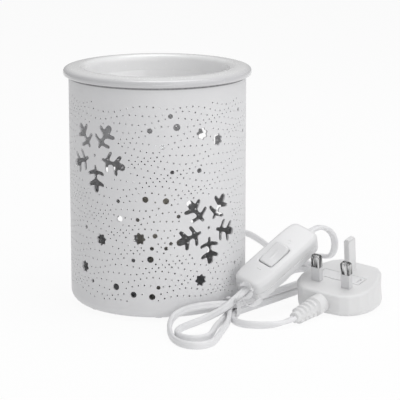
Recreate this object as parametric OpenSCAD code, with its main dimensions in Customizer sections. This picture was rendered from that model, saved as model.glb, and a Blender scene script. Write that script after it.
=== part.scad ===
// Electric wax melt warmer: a white dish on a pierced steel drum with a reflector lamp inside,
// a flat twin flex tied in a hank, a rocker switch on the flex and a three pin fused plug.
// Millimetres, +Z up, the front is -Y, the flex leaves at the back, z = 0 is the table.

/* [Body] */
// outside diameter of the pierced drum
body_d = 113; // [80:1:200]
// height of the drum from its underside to its top edge
body_h = 150; // [100:1:260]
// thickness of the drum's steel
wall = 1.2; // [0.8:0.1:3]
// outside radius of the rounded bottom edge
corner_r = 7.5; // [4:0.5:15]
// height of the rubber feet under the drum
foot_h = 1.6; // [1:0.1:4]

/* [Dish] */
// how far the dish's lip stands out beyond the drum
lip_out = 3.5; // [2:0.1:6]
// depth of the well below the drum's top edge
dish_depth = 17.5; // [8:0.5:30]
// thickness of the dish
dish_t = 2; // [1:0.1:4]
// how far the lip hangs down outside the drum
lip_drop = 3; // [1:0.1:6]

/* [Pattern] */
// height of the upper snowflakes above the drum's underside
flake_high = 102; // [60:1:220]
// height of the lower snowflakes above the drum's underside
flake_low = 57; // [30:1:120]
// distance from a snowflake's middle to the near end of a leaf
leaf_start = 6; // [3:0.5:10]
// length of one leaf cut-out
leaf_len = 17.5; // [8:0.5:22]
// greatest width of one leaf cut-out
leaf_w = 14; // [5:0.5:14]

/* [Lamp] */
// diameter of the reflector lamp
lamp_d = 50; // [35:1:60]
// length of the lamp from its seat to its front glass
lamp_len = 47; // [40:1:60]
// height of the bracket under the lamp holder
bracket_h = 32; // [20:1:50]
// spacing of the lamp's two pins
pin_gap = 10; // [6:0.5:12]
// turn that frees the lamp from its holder
twist = 24; // [20:1:26]

/* [Flex] */
// width of the flat twin flex
flex_w = 4.8; // [4:0.1:7]
// thickness of the flat twin flex
flex_t = 3; // [2.5:0.1:4]
// height of the flex's way out above the table
exit_z = 14; // [12:0.5:20]

/* [Switch] */
// length of the switch case
switch_l = 60; // [50:1:80]
// width of the switch case
switch_w = 23; // [20:0.5:30]
// thickness of the switch case
switch_t = 15; // [14:0.5:20]

/* [Plug] */
// width of the plug's body across the live and neutral pins
plug_w = 51; // [46:1:60]
// spacing of the live and neutral pins
pin_pitch = 22.23; // [22.2:0.01:22.3]
// distance of the earth pin from the line of the other two
earth_pitch = 22.23; // [22.2:0.01:22.3]

/* [Hidden] */
$fn = 48;
e = 0.01;
fit = 0.05;
body_r = body_d / 2;
inner_r = body_r - wall;
z_floor = foot_h + wall;
z_plate = z_floor + wall;
z_top = foot_h + body_h;
ring_r = body_r - corner_r - 9;
foot_at = ring_r + 4.5;
dish_r = body_r + lip_out;
// where the flex leaves its grommet
exit_y = body_r + 17.5;
well_r = body_r - 10.7;
z_brk = z_plate + bracket_h;
z_seat = z_brk + 1.2 + 20;
z_lamp = z_seat + 0.3;
brk_w = 14;
brk_r = 17;
clamp_y = 34;
block_y = 9.5;
// one quarter of the scattered round holes: [degrees round from the front, height, diameter]
scatter = [[8, 129, 3], [12, 122, 4.5], [-5, 120, 3.5], [3, 110, 3.2], [9, 94, 2.6],
  [27, 94, 3.2], [-8, 77, 4], [5, 76, 4], [-26, 75, 2.6], [-25, 64, 4], [-13, 64, 2.6],
  [13, 66, 2.6], [-2, 54, 3.2], [-4, 46, 2.6], [5, 46, 2.6], [-16, 38, 2.6], [-5, 39, 4.2],
  [8, 49, 2.4], [-28, 20, 4.5], [-16, 16, 4], [-4, 15, 4], [0, 21, 2.6], [-47, 21, 2.6],
  [63, 128, 2.6], [72, 113, 2.6], [59, 30, 2.6], [-53, 55, 2.6]];
// the small blossoms, cut as rounds of their own width
blossoms = [[-12, 52], [41, 112], [29, 117], [-39, 49], [-55, 29], [28, 24]];
blossom_d = 7;
// the second half of the drum repeats the first, turned by this much
half_turn = 172;
// switch and plug as they lie: place and turn
switch_at = [body_r + 19.2, -26, 23.8 + switch_t / 2];
switch_turn = [19, -26.5, 40];
plug_at = [body_r + 53.9, -31.2, 17.9];
plug_turn = [11.5, 4, -37.3];
relief_l = 30;
// routes of the flex, round numbers laid out on the table
lead_route = [[0, exit_y, exit_z], [0, 90, 11], [2, 108, 4], [8, 134, 2], [22, 160, 2], [42, 177, 2],
  [58, 179, 2], [67, 168, 2], [74, 148, 2], [80, 122, 2], [86, 98, 2], [93, 80, 4], [100, 66, 8]];
plug_route = [[74, -70, 3], [64, -71, 3], [54, -67, 4], [46, -54, 6]];
hank_right = [[48, -43], [58, -31], [77, -9], [98, 16], [107, 32], [110, 48], [107, 60], [100, 65],
  [93, 60], [82, 34], [68, 0], [57, -25], [48, -43]];
hank_left = [[46, -48], [34, -60], [16, -63], [8, -72], [9, -92], [14, -107], [21, -114],
  [30, -107], [37, -90], [44, -68], [46, -48]];
tie_at = [46, -46];

function unit(v) = v / norm(v);
function arc(c, r, a0, a1, n) = [for (i = [0:n]) let (a = a0 + (a1 - a0) * i / n)
  [c[0] + r * cos(a), c[1] + r * sin(a)]];
// matrix of a turn given as three angles, the way rotate() takes them
function rx(a) = [[1, 0, 0], [0, cos(a), -sin(a)], [0, sin(a), cos(a)]];
function ry(a) = [[cos(a), 0, sin(a)], [0, 1, 0], [-sin(a), 0, cos(a)]];
function rz(a) = [[cos(a), -sin(a), 0], [sin(a), cos(a), 0], [0, 0, 1]];
function turned(t, p) = rz(t[2]) * ry(t[1]) * rx(t[0]) * p;
function on_switch(p) = switch_at + turned(switch_turn, p);
function on_plug(p) = plug_at + turned(plug_turn, p);
// one point between p1 and p2 on the smooth curve through four route points
function between(p0, p1, p2, p3, t) = 0.5 * (2 * p1 + (p2 - p0) * t
  + (2 * p0 - 5 * p1 + 4 * p2 - p3) * t * t + (3 * p1 - p0 - 3 * p2 + p3) * t * t * t);
function smooth(r, n) = let (m = len(r) - 1) [for (i = [0:m - 1], k = [0:n - 1])
  between(r[max(i - 1, 0)], r[i], r[i + 1], r[min(i + 2, m)], k / n), r[m]];
arc_route = [on_switch([switch_l / 2, 0, 0]), on_switch([switch_l / 2 + 4, 0, 0]), [104, 2.5, 47],
  [109, 10.5, 44.5], [113, 18.5, 40.5], [116.5, 27, 34.5], [118.5, 35.5, 26.5], [118, 43, 19.5],
  [116, 50, 14], [112, 57, 10], [107, 62, 8]];
low_route = [on_switch([-switch_l / 2, 0, 0]), on_switch([-switch_l / 2 - 4, 0, 0]),
  [47, -52, 12], [43, -55, 9]];

module put(at, turn) { translate(at) rotate(turn) children(); }
module at_switch() { put(switch_at, switch_turn) children(); }
module at_plug() { put(plug_at, plug_turn) children(); }
module drum_at(a, h) { translate([0, 0, h]) rotate([0, 0, a]) children(); }
module radial(a, h, depth) {
  drum_at(a, h) translate([0, -body_r + depth, 0]) rotate([90, 0, 0]) children();
}
module ring(r1, r2, h) { difference() { cylinder(h = h, r = r1); translate([0, 0, -1]) cylinder(h = h + 2, r = r2); } }
module round_plate(l, w, r, h) {
  linear_extrude(height = h) union() {
    square([l - 2 * r, w], center = true);
    square([l, w - 2 * r], center = true);
    for (x = [-1, 1], y = [-1, 1]) translate([x * (l / 2 - r), y * (w / 2 - r)]) circle(r = r);
  }
}
// section of the flat flex with its wide way along x, and a straight run of it along +Z
module flex_section(more = 0) {
  square([flex_w - flex_t, flex_t + 2 * more], center = true);
  for (s = [-1, 1]) translate([s * (flex_w - flex_t) / 2, 0]) circle(d = flex_t + 2 * more);
}
module flex_run(l, more = 0) { linear_extrude(height = l) flex_section(more); }
// the flex swept along a route as one closed skin of eight-sided rings
module flex_tube(route) {
  n = len(route); m = 8;
  ring_pts = [for (i = [0:n - 1]) let (
      t = unit(route[min(i + 1, n - 1)] - route[max(i - 1, 0)]),
      s = unit(cross(t, [0, 0, 1])), u = cross(s, t))
    for (k = [0:m - 1]) route[i] + s * (flex_w / 2) * cos(360 * k / m)
      + u * (flex_t / 2) * sin(360 * k / m)];
  faces = concat([[for (k = [0:m - 1]) k]],
    [for (i = [0:n - 2], k = [0:m - 1]) let (j = (k + 1) % m)
      [i * m + k, (i + 1) * m + k, (i + 1) * m + j, i * m + j]],
    [[for (k = [m - 1:-1:0]) (n - 1) * m + k]]);
  polyhedron(points = ring_pts, faces = faces, convexity = 6);
}
// a bundle of strands lying flat along a route: straight bars with round ends
module bundle(route, w, h) {
  linear_extrude(height = h) union() {
    for (i = [1:len(route) - 1]) translate(route[i]) circle(d = w + 0.1, $fn = 24);
    for (i = [0:len(route) - 2])
      let (a = route[i], d = route[i + 1] - a, n = [-d[1], d[0]] / norm(d) * w / 2)
        polygon([a - n, a + d - n, a + d + n, a + n]);
  }
}
module screw(d, l, head_d, head_h) {
  cylinder(h = l + e, d = d); translate([0, 0, l]) cylinder(h = head_h, d = head_d);
}

// dish: a shallow well with a domed rim whose lip hangs over the drum's edge
module dish() {
  color("white") rotate_extrude($fn = 96) polygon(concat(
    [[0, z_top - dish_depth - dish_t], [well_r - 9, z_top - dish_depth - dish_t]],
    arc([well_r - 9, z_top - dish_depth + 6], 8, -80, -10, 6),
    [[well_r + 2, z_top], [dish_r - 2.4, z_top], [dish_r - 1.8, z_top - 0.8],
     [dish_r - 1.6, z_top - lip_drop], [dish_r - 0.5, z_top - lip_drop - 0.2],
     [dish_r, z_top - lip_drop + 0.8], [dish_r, z_top - 0.5], [dish_r - 0.7, z_top + 0.6],
     [dish_r - 2.4, z_top + 1.5], [dish_r - 6, z_top + 2.1], [dish_r - 10, z_top + 2.4],
     [dish_r - 12, z_top + 2.2], [dish_r - 13.6, z_top + 1], [well_r, z_top - 2]],
    arc([well_r - 9, z_top - dish_depth + 6], 6, -10, -90, 6), [[0, z_top - dish_depth]]));
}
// one leaf cut-out: a narrow stem at the inner end, a pair of thin arms, a waist, a pair of
// thicker arms and an end lobe; half its outline, as shares of half the width and of the length
half_leaf = [[0.08, 0], [0.12, 0.17], [0.7, 0.24], [1, 0.31], [0.92, 0.4], [0.4, 0.34],
  [0.18, 0.42], [0.24, 0.5], [0.72, 0.58], [0.97, 0.7], [0.86, 0.78], [0.38, 0.74], [0.31, 0.88],
  [0.14, 1]];
module leaf() {
  n = len(half_leaf) - 1;
  polygon(concat([for (i = [0:n]) [half_leaf[i][0] * leaf_w / 2, half_leaf[i][1] * leaf_len]],
    [for (i = [n:-1:0]) [-half_leaf[i][0] * leaf_w / 2, half_leaf[i][1] * leaf_len]]));
}
module snowflake(a, h) {
  mid = leaf_start + leaf_len / 2;
  for (k = [0:4]) let (b = -87 + 72 * k)
    radial(a + mid * cos(b) / body_r * 180 / PI, foot_h + h + mid * sin(b), 6)
      linear_extrude(height = 9) rotate(b - 90) translate([0, -leaf_len / 2]) leaf();
  radial(a, foot_h + h, 4) cylinder(h = 6, d = 2, $fn = 16);
}
module body_shell() {
  o = [body_r - corner_r, foot_h + corner_r];
  color("ghostwhite") difference() {
    rotate_extrude($fn = 120) polygon(concat([[ring_r, foot_h]], arc(o, corner_r, -90, 0, 8),
      [[body_r, z_top], [inner_r, z_top]], arc(o, corner_r - wall, 0, -90, 8), [[ring_r, z_floor]]));
    for (half = [0, half_turn]) {
      snowflake(half - 44, flake_high);
      snowflake(half + 34, flake_low);
      for (s = scatter) radial(half + s[0], foot_h + s[1] * body_h / 150, 4)
        cylinder(h = 6, d = s[2], $fn = 16);
      for (s = blossoms) radial(half + s[0], foot_h + s[1] * body_h / 150, 4)
        cylinder(h = 6, d = blossom_d, $fn = 16);
    }
    radial(180, exit_z, 4) cylinder(h = 6, d = 9);
    for (k = [0:2]) rotate([0, 0, 120 * k + 30]) translate([foot_at, 0, 0]) cylinder(h = 9, d = 3 + 2 * fit);
  }
}
// base plate: lies on the drum's turned-in edge, with a ring of air holes
module base_plate() {
  color("gainsboro") translate([0, 0, z_floor]) difference() {
    cylinder(h = wall, r = body_r - corner_r - 0.5);
    for (k = [0:11]) rotate([0, 0, 30 * k + 15]) translate([33, 0, -1]) cylinder(h = 4, d = 6);
    for (k = [0:2]) rotate([0, 0, 120 * k + 30]) translate([foot_at, 0, -1]) cylinder(h = 4, d = 3 + 2 * fit);
    for (s = [-1, 1]) translate([s * (brk_r + 6), 0, -1]) cylinder(h = 4, d = 3 + 2 * fit);
    translate([0, clamp_y, -1]) cylinder(h = 4, d = 3 + 2 * fit);
  }
}
module rubber_feet() {
  color("dimgray") for (k = [0:2]) rotate([0, 0, 120 * k + 90]) translate([foot_at, 0, 0])
    cylinder(h = foot_h, d = 8);
}
module base_screws() {
  color("silver") for (k = [0:2]) rotate([0, 0, 120 * k + 30]) translate([foot_at, 0, z_plate + 3.4])
    mirror([0, 0, 1]) screw(3, 3.4 + 2 * wall, 5.5, 1.2);
}
module base_nuts() {
  color("silver") for (k = [0:2]) rotate([0, 0, 120 * k + 30]) translate([foot_at, 0, z_plate])
    difference() { cylinder(h = 2.4, d = 6.2, $fn = 6); translate([0, 0, -1]) cylinder(h = 5, d = 3 + 2 * fit); }
}
// bracket: a strap bent up over the middle of the base plate
module holder_bracket() {
  color("silver") difference() {
    union() {
      translate([-brk_r, -brk_w / 2, z_brk]) cube([2 * brk_r, brk_w, 1.2]);
      for (s = [-1, 1]) {
        translate([s * (brk_r - 0.6) - 0.6, -brk_w / 2, z_plate]) cube([1.2, brk_w, bracket_h + 1.2]);
        translate([s * (brk_r + 5.4) - 6, -brk_w / 2, z_plate]) cube([12, brk_w, 1.2]);
      }
    }
    for (s = [-1, 1]) translate([s * (brk_r + 6), 0, z_plate - 1]) cylinder(h = 4, d = 3 + 2 * fit);
    for (s = [-1, 1]) translate([0, s * 4, z_brk - 1]) cylinder(h = 4, d = 3);
  }
}
module bracket_screws() {
  color("silver") for (s = [-1, 1]) translate([s * (brk_r + 6), 0, z_plate - 2.4])
    screw(3, 3.6, 5.6, 2);
}
// lamp holder: a ceramic drum with two keyhole slots; each is a wide hole where a pin's head goes
// in and, turned from it by twist, a narrow hole over a chamber that holds the head
module lamp_holder() {
  a0 = pin_gap / 2;
  color("beige") translate([0, 0, z_brk + 1.2]) difference() {
    cylinder(h = 20, d = 27);
    for (s = [0, 180]) rotate([0, 0, s]) {
      translate([a0, 0, 8]) cylinder(h = 6.5, r = 2.85, $fn = 32);
      translate([a0, 0, 8]) cylinder(h = 13, r = 1.95, $fn = 32);
      rotate([0, 0, -twist]) translate([a0, 0, 8]) cylinder(h = 13, r = 2.85, $fn = 32);
    }
    for (s = [-1, 1]) translate([s * 4.5, block_y, -1]) cylinder(h = 9.5, d = 2.6 + 2 * fit, $fn = 24);
  }
}
module holder_contacts() {
  color("goldenrod") for (s = [0, 180]) rotate([0, 0, s]) translate([pin_gap / 2, 0, z_brk + 9.2])
    cylinder(h = 1.6, r = 1.8, $fn = 24);
}
// lamp: cap with two headed pins, mirrored bowl, capsule and front glass
module lamp_cap() {
  color("white") translate([0, 0, z_lamp]) difference() {
    union() { cylinder(h = 9, d = 20); translate([0, 0, 9 - e]) cylinder(h = 6, d = 24); }
    translate([0, 0, 12]) cylinder(h = 6, d = 14);
  }
}
module lamp_pins() {
  color("silver") for (s = [-1, 1]) translate([s * pin_gap / 2, 0, z_lamp]) mirror([0, 0, 1])
    screw(3, 7.2, 4.8, 2);
}
bowl_h = lamp_len - 17;
module lamp_reflector() {
  r0 = 9.5;
  color("lightsteelblue") translate([0, 0, z_lamp + 15]) rotate_extrude($fn = 72) polygon(concat(
    [for (i = [0:8]) [r0 + (lamp_d / 2 - r0) * pow(i / 8, 0.6), bowl_h * i / 8]],
    [for (i = [8:-1:0]) [r0 - 1.5 + (lamp_d / 2 - r0) * pow(i / 8, 0.6), bowl_h * i / 8]]));
}
module lamp_capsule() {
  color("white") translate([0, 0, z_lamp + 12]) union() {
    translate([-3.5, -2.2, 0]) cube([7, 4.4, 7]);
    translate([0, 0, 7 - e]) cylinder(h = 11, d = 8.5); translate([0, 0, 18]) sphere(d = 8.5);
  }
}
module lamp_lens() {
  color("aliceblue") translate([0, 0, z_lamp + 15 + bowl_h]) cylinder(h = 2, d = lamp_d);
}
// terminal block under the bracket, its way in facing the flex
module terminal_block() {
  color("beige") translate([-9, block_y - 5, z_plate]) difference() {
    cube([18, 10, 13]);
    for (s = [4.5, 13.5]) {
      translate([s, 11, exit_z - z_plate]) rotate([90, 0, 0]) cylinder(h = 8, d = 2.4, $fn = 24);
      translate([s, 2.5, 7]) cylinder(h = 8, d = 3.2, $fn = 24);
      translate([s, 7.6, 10]) cylinder(h = 8, d = 1, $fn = 16);
    }
  }
}
module terminal_screws() {
  color("silver") for (s = [-4.5, 4.5]) translate([s, block_y - 2.5, z_plate + 7])
    cylinder(h = 5.4, d = 3.1, $fn = 24);
}
module lamp_leads() {
  top = z_brk + 9;
  color("ivory") for (s = [-4.5, 4.5]) translate([s, block_y, z_plate + 13])
    cylinder(h = top - z_plate - 13, d = 2.6, $fn = 24);
}
// clamp: a block over the flex just inside the wall, held down by one screw from below
module flex_clamp() {
  color("whitesmoke") translate([-6, clamp_y - 3, z_plate]) difference() {
    cube([12, 6, exit_z - z_plate + 4]);
    translate([6, 7, exit_z - z_plate]) rotate([90, 0, 0]) flex_run(8, fit);
    translate([6, 3, -1]) cylinder(h = 7.5, d = 3 + 2 * fit);
  }
}
module clamp_screw() {
  color("silver") translate([0, clamp_y, z_plate + 5.5]) mirror([0, 0, 1])
    screw(3, 5.5 + wall, 5.6, 1.2);
}
tail_y = block_y + 5;
module flex_tail() {
  color("white") translate([0, exit_y, exit_z]) rotate([90, 0, 0]) flex_run(exit_y - tail_y);
}
// grommet: a flanged neck through the wall with a short ribbed sleeve outside
module flex_grommet() {
  color("whitesmoke") translate([0, body_r - 6, exit_z]) rotate([-90, 0, 0]) difference() {
    union() {
      cylinder(h = 8, r = 4.45); translate([0, 0, 2]) cylinder(h = 2, r = 5.6);
      translate([0, 0, 6]) cylinder(h = 2.5, r = 6.6);
      translate([0, 0, 8]) cylinder(h = 15.5, r1 = 4.6, r2 = 3.4);
      for (k = [0:3]) translate([0, 0, 11 + 3 * k]) cylinder(h = 1.4, r = 4.8 - 0.3 * k);
    }
    translate([0, 0, -1]) flex_run(30, fit);
  }
}
module lead_flex() { color("white") flex_tube(smooth(lead_route, 2)); }
module flex_hank() {
  color("white") union() { bundle(hank_right, 8, 11); bundle(hank_left, 5, 6); }
}
// twist tie: a flat band round the waist of the hank with its two ends twisted together
module twist_tie() {
  color("white") translate([tie_at[0], tie_at[1], 0]) rotate([0, 0, -40]) union() {
    difference() {
      translate([-5.4, -2.5, 0]) cube([10.8, 5, 12.4]);
      translate([-4.8, -4, 0.6]) cube([9.6, 8, 11.2]);
    }
    translate([3, -1, 12]) rotate([0, 60, 0]) cylinder(h = 9, d = 1.8, $fn = 16);
  }
}
// switch case: two halves that meet at mid height, screwed together from below
module flex_way(s) {
  translate([s * (switch_l / 2 - 15), 0, 0]) rotate([0, s * 90, 0]) rotate([0, 0, 90]) flex_run(17, fit);
}
screw_x = switch_l / 2 - 7;
module switch_base() {
  h = switch_t / 2;
  color("white") at_switch() difference() {
    translate([0, 0, -h]) round_plate(switch_l, switch_w, 6, h);
    translate([0, 0, -h + 1.8]) round_plate(switch_l - 26, switch_w - 4, 3, h);
    for (s = [-1, 1]) flex_way(s);
    for (s = [-1, 1]) translate([s * screw_x, s * 7, -h - 1]) {
      cylinder(h = 20, d = 2.5 + 2 * fit); cylinder(h = 3, d = 5 + 2 * fit);
    }
  }
}
rocker_x = -2;
rocker_l = 19;
rocker_w = 10.5;
module switch_cover() {
  h = switch_t / 2;
  color("white") at_switch() difference() {
    round_plate(switch_l, switch_w, 6, h);
    translate([0, 0, -1]) round_plate(switch_l - 26, switch_w - 4, 3, h - 0.8);
    for (s = [-1, 1]) flex_way(s);
    for (s = [-1, 1]) translate([s * screw_x, s * 7, -1]) cylinder(h = 6, d = 2.5 + 2 * fit);
    translate([rocker_x, 0, h / 2]) cube([rocker_l + 0.8, rocker_w + 0.8, h + 2], center = true);
    translate([rocker_x, 0, h - 0.1]) rotate([90, 0, 0]) cylinder(h = rocker_w + 3.4, r = 1.1, center = true, $fn = 32);
  }
}
// rocker: a shallow V on a cross pin; one end is pressed down at rest
rocker_tilt = 8;
module switch_rocker() {
  h = switch_t / 2;
  color("whitesmoke") at_switch() translate([rocker_x, 0, h - 0.1]) rotate([0, -rocker_tilt, 0]) union() {
    difference() {
      translate([-9, -rocker_w / 2, -4]) cube([18, rocker_w, 6]);
      for (s = [-1, 1]) translate([0, 0, 1.2]) rotate([0, -s * rocker_tilt, 0])
        translate([s * 6, 0, 4]) cube([14, rocker_w + 2, 8], center = true);
      for (s = [-1, 1]) translate([s * 7.5, 0, -4]) rotate([0, s * 35, 0]) cube([8, rocker_w + 2, 3], center = true);
    }
    rotate([90, 0, 0]) cylinder(h = rocker_w + 2.6, r = 1.05, center = true, $fn = 32);
  }
}
module switch_contacts() {
  z0 = -switch_t / 2 + 1.8;
  color("goldenrod") at_switch() {
    for (s = [-1, 1]) translate([s * 14 - 2.4, -5, z0]) cube([4.8, 10, 3.6]);
    translate([-11.6, -2, z0]) cube([23.2, 4, 0.6]);
  }
}
module switch_screws() {
  color("silver") at_switch() for (s = [-1, 1]) translate([s * screw_x, s * 7, 4.6]) mirror([0, 0, 1])
    screw(2.5, 2.6 + switch_t / 2, 5, 1.8);
}
module switch_tails() {
  color("white") at_switch() for (s = [-1, 1]) translate([s * (switch_l / 2 - 13), 0, 0])
    rotate([0, s * 90, 0]) rotate([0, 0, 90]) flex_run(13);
}
module switch_flex_top() { color("white") flex_tube(smooth(arc_route, 2)); }
module switch_flex_low() { color("white") flex_tube(smooth(low_route, 2)); }

// plug: moulded body cut off flat where it lies on the table, pins up
carrier = [31, 9.6, 9.5];
carrier_y = 11.4;
module plug_outline() {
  a = plug_w / 2;
  polygon([[-13, -14], [13, -14], [19, -11], [a - 2, -5], [a, 3], [a, 10], [a - 3, 22], [a - 7, 30],
    [13, 34.5], [-13, 34.5], [7 - a, 30], [3 - a, 22], [-a, 10], [-a, 3], [2 - a, -5], [-19, -11]]);
}
module plug_body() {
  color("white") difference() {
    at_plug() translate([0, 0, -40]) linear_extrude(height = 40) plug_outline();
    translate([60, -100, -50]) cube([120, 140, 50]);
    at_plug() {
      for (s = [-1, 1]) translate([s * pin_pitch / 2, 0, -4]) cube([4.75 + 2 * fit, 2.4 + 2 * fit, 9], center = true);
      translate([0, earth_pitch, -4]) cube([3.97 + 2 * fit, 7.92 + 2 * fit, 9], center = true);
      translate([-carrier[0] / 2 - 0.3, carrier_y - carrier[1] / 2 - 0.3, -10.5])
        cube([carrier[0] + 0.6, carrier[1] + 0.6, 12]);
    }
  }
}
module plug_blades() {
  color("goldenrod") at_plug() for (s = [-1, 1]) translate([s * pin_pitch / 2, 0, 0]) union() {
    translate([-4.75 / 2, -1.2, -8.5]) cube([4.75, 2.4, 18.5]);
    translate([-6.35 / 2, -3.97 / 2, 9.5]) cube([6.35, 3.97, 7.4]);
    translate([-5.4 / 2, -1.5, 16.9 - e]) cube([5.4, 3, 0.8 + e]);
  }
}
module blade_sleeves() {
  color("dimgray") at_plug() for (s = [-1, 1]) translate([s * pin_pitch / 2, 0, 9.5 / 2]) difference() {
    cube([6.35, 3.97, 9.5], center = true);
    cube([4.75 + 0.02, 2.4 + 0.02, 12], center = true);
  }
}
module earth_pin() {
  color("white") at_plug() translate([0, earth_pitch, 0]) union() {
    translate([-3.97 / 2, -7.92 / 2, -8.5]) cube([3.97, 7.92, 30.2]);
    translate([-1.5, -3.4, 21.7 - e]) cube([3, 6.8, 1 + e]);
  }
}
// fuse carrier: a small drawer that pulls straight out of the pin face with the fuse in it
module fuse_carrier() {
  color("white") at_plug() translate([0, carrier_y, 0]) difference() {
    translate([-carrier[0] / 2, -carrier[1] / 2, -carrier[2]]) cube(carrier);
    translate([0, 0, -6]) rotate([0, 90, 0]) cylinder(h = 25.4 + 2 * fit, d = 6.3 + 2 * fit, center = true);
    translate([-12.75, -2.6, -11]) cube([25.5, 5.2, 5]);
    translate([carrier[0] / 2 - 2.5, 0, 0]) cube([1.6, 5, 2], center = true);
  }
}
module fuse() {
  color("silver") at_plug() translate([0, carrier_y, -6]) rotate([0, 90, 0])
    cylinder(h = 25.4, d = 6.3, center = true);
}
module fuse_clips() {
  color("goldenrod") at_plug() for (s = [-1, 1]) translate([s * 9.5 - 2.5, carrier_y - 2.2, -10.5])
    cube([5, 4.4, 0.9]);
}
// strain relief: a ribbed taper from the plug's side down to the flex
relief_turn = [84, 0, 0];
module plug_relief() {
  color("white") at_plug() translate([0, -14, -7.5]) rotate(relief_turn) difference() {
    union() {
      cylinder(h = relief_l, r1 = 5.6, r2 = 3.4);
      cylinder(h = 8, r1 = 6.6, r2 = 6.2);
      for (k = [0:3]) translate([0, 0, 10.5 + 4.4 * k]) cylinder(h = 2.6, r1 = 6 - 0.5 * k, r2 = 5.8 - 0.5 * k);
    }
    translate([0, 0, 8]) flex_run(40, fit);
  }
}
relief_end = on_plug([0, -14, -7.5] + rx(84) * [0, 0, relief_l]);
relief_dir = turned(plug_turn, rx(84) * [0, 0, 1]);
module plug_flex() {
  color("white") flex_tube(smooth(concat([relief_end, relief_end + relief_dir * 4], plug_route), 2));
}

dish();
body_shell();
base_plate();
rubber_feet();
base_screws();
base_nuts();
holder_bracket();
bracket_screws();
lamp_holder();
holder_contacts();
lamp_cap();
lamp_pins();
lamp_reflector();
lamp_capsule();
lamp_lens();
terminal_block();
terminal_screws();
lamp_leads();
flex_clamp();
clamp_screw();
flex_tail();
flex_grommet();
lead_flex();
flex_hank();
twist_tie();
switch_base();
switch_cover();
switch_rocker();
switch_contacts();
switch_screws();
switch_tails();
switch_flex_top();
switch_flex_low();
plug_body();
plug_blades();
blade_sleeves();
earth_pin();
fuse_carrier();
fuse();
fuse_clips();
plug_relief();
plug_flex();
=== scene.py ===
# %% [markdown]
# # A wax melt warmer, built round a fixed CAD frame
# The warmer is a white dish on a pierced steel drum, with a twin flex, a switch and a plug.
# The CAD model fixes where everything is. This script only gives each piece its looks, so its
# first act is to load that frame and to note how large it is.

# %% Load the frame
import math
import bmesh
import bpy
import numpy as np
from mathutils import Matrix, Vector
from mathutils.geometry import delaunay_2d_cdt


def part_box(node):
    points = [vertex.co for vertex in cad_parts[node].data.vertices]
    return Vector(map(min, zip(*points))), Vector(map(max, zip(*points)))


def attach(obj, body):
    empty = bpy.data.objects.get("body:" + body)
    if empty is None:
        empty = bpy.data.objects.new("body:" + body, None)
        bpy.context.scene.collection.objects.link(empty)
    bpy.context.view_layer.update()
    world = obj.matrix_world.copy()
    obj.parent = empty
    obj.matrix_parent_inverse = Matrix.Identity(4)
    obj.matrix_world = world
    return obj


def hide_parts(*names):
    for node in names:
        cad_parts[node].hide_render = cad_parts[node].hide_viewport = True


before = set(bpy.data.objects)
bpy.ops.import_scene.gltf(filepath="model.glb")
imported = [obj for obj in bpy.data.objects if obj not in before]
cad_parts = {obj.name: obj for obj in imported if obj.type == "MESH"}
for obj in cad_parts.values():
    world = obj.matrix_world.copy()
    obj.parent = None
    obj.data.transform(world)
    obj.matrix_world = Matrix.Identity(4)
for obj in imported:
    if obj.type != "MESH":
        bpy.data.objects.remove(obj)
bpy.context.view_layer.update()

MM = 0.001

# %% [markdown]
# The driving sizes of the drum and the dish are read back from the frame's own boxes, in
# millimetres, so that a new skin sits exactly where the CAD solid is.


# %% Sizes read from the frame
def span(node):
    """Lowest and highest corner of a CAD node, in millimetres."""
    low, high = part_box(node)
    return np.array(low) / MM, np.array(high) / MM


shell_low, shell_high = span("body_shell")
dish_low, dish_high = span("dish")
body_r = shell_high[0]
foot_h = shell_low[2]
z_top = shell_high[2]
dish_r = dish_high[0]
dish_floor = dish_low[2] + 2
wall = 1.2
corner_r = 7.5
ring_r = body_r - corner_r - 9
print("drum radius", round(body_r, 2), "top edge", round(z_top, 2), "dish radius", round(dish_r, 2))

# %% [markdown]
# A few small helpers carry the whole file. `make_piece` turns arrays of points and faces into a
# Blender object, `skin` joins rings of points with faces, and `turned` gives the matrix of three
# turns in the order that the CAD source uses. `oval` and `flat_ring` draw outlines, and `through`
# draws a smooth line through chosen points.


# %% Mesh helpers
def make_piece(name, points, faces, finish, body, replaces=(), sharp=35):
    """An object from points (n, 3) in millimetres and arrays of faces, a row of point numbers each."""
    rows = [np.asarray(f, np.int32) for f in faces if len(f)]
    corners = np.concatenate([f.ravel() for f in rows])
    sizes = np.concatenate([np.full(len(f), f.shape[1]) for f in rows])
    mesh = bpy.data.meshes.new(name)
    mesh.vertices.add(len(points))
    mesh.vertices.foreach_set("co", (np.asarray(points) * MM).astype(np.float32).ravel())
    mesh.loops.add(len(corners))
    mesh.loops.foreach_set("vertex_index", corners)
    mesh.polygons.add(len(sizes))
    mesh.polygons.foreach_set("loop_start", (np.cumsum(sizes) - sizes).astype(np.int32))
    mesh.update(calc_edges=True)
    mesh.polygons.foreach_set("use_smooth", np.ones(len(sizes), bool))
    mesh.set_sharp_from_angle(angle=math.radians(sharp))
    piece = bpy.data.objects.new(name, mesh)
    bpy.context.scene.collection.objects.link(piece)
    mesh.materials.append(finish)
    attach(piece, body)
    if replaces:
        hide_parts(*replaces)
    return piece


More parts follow.
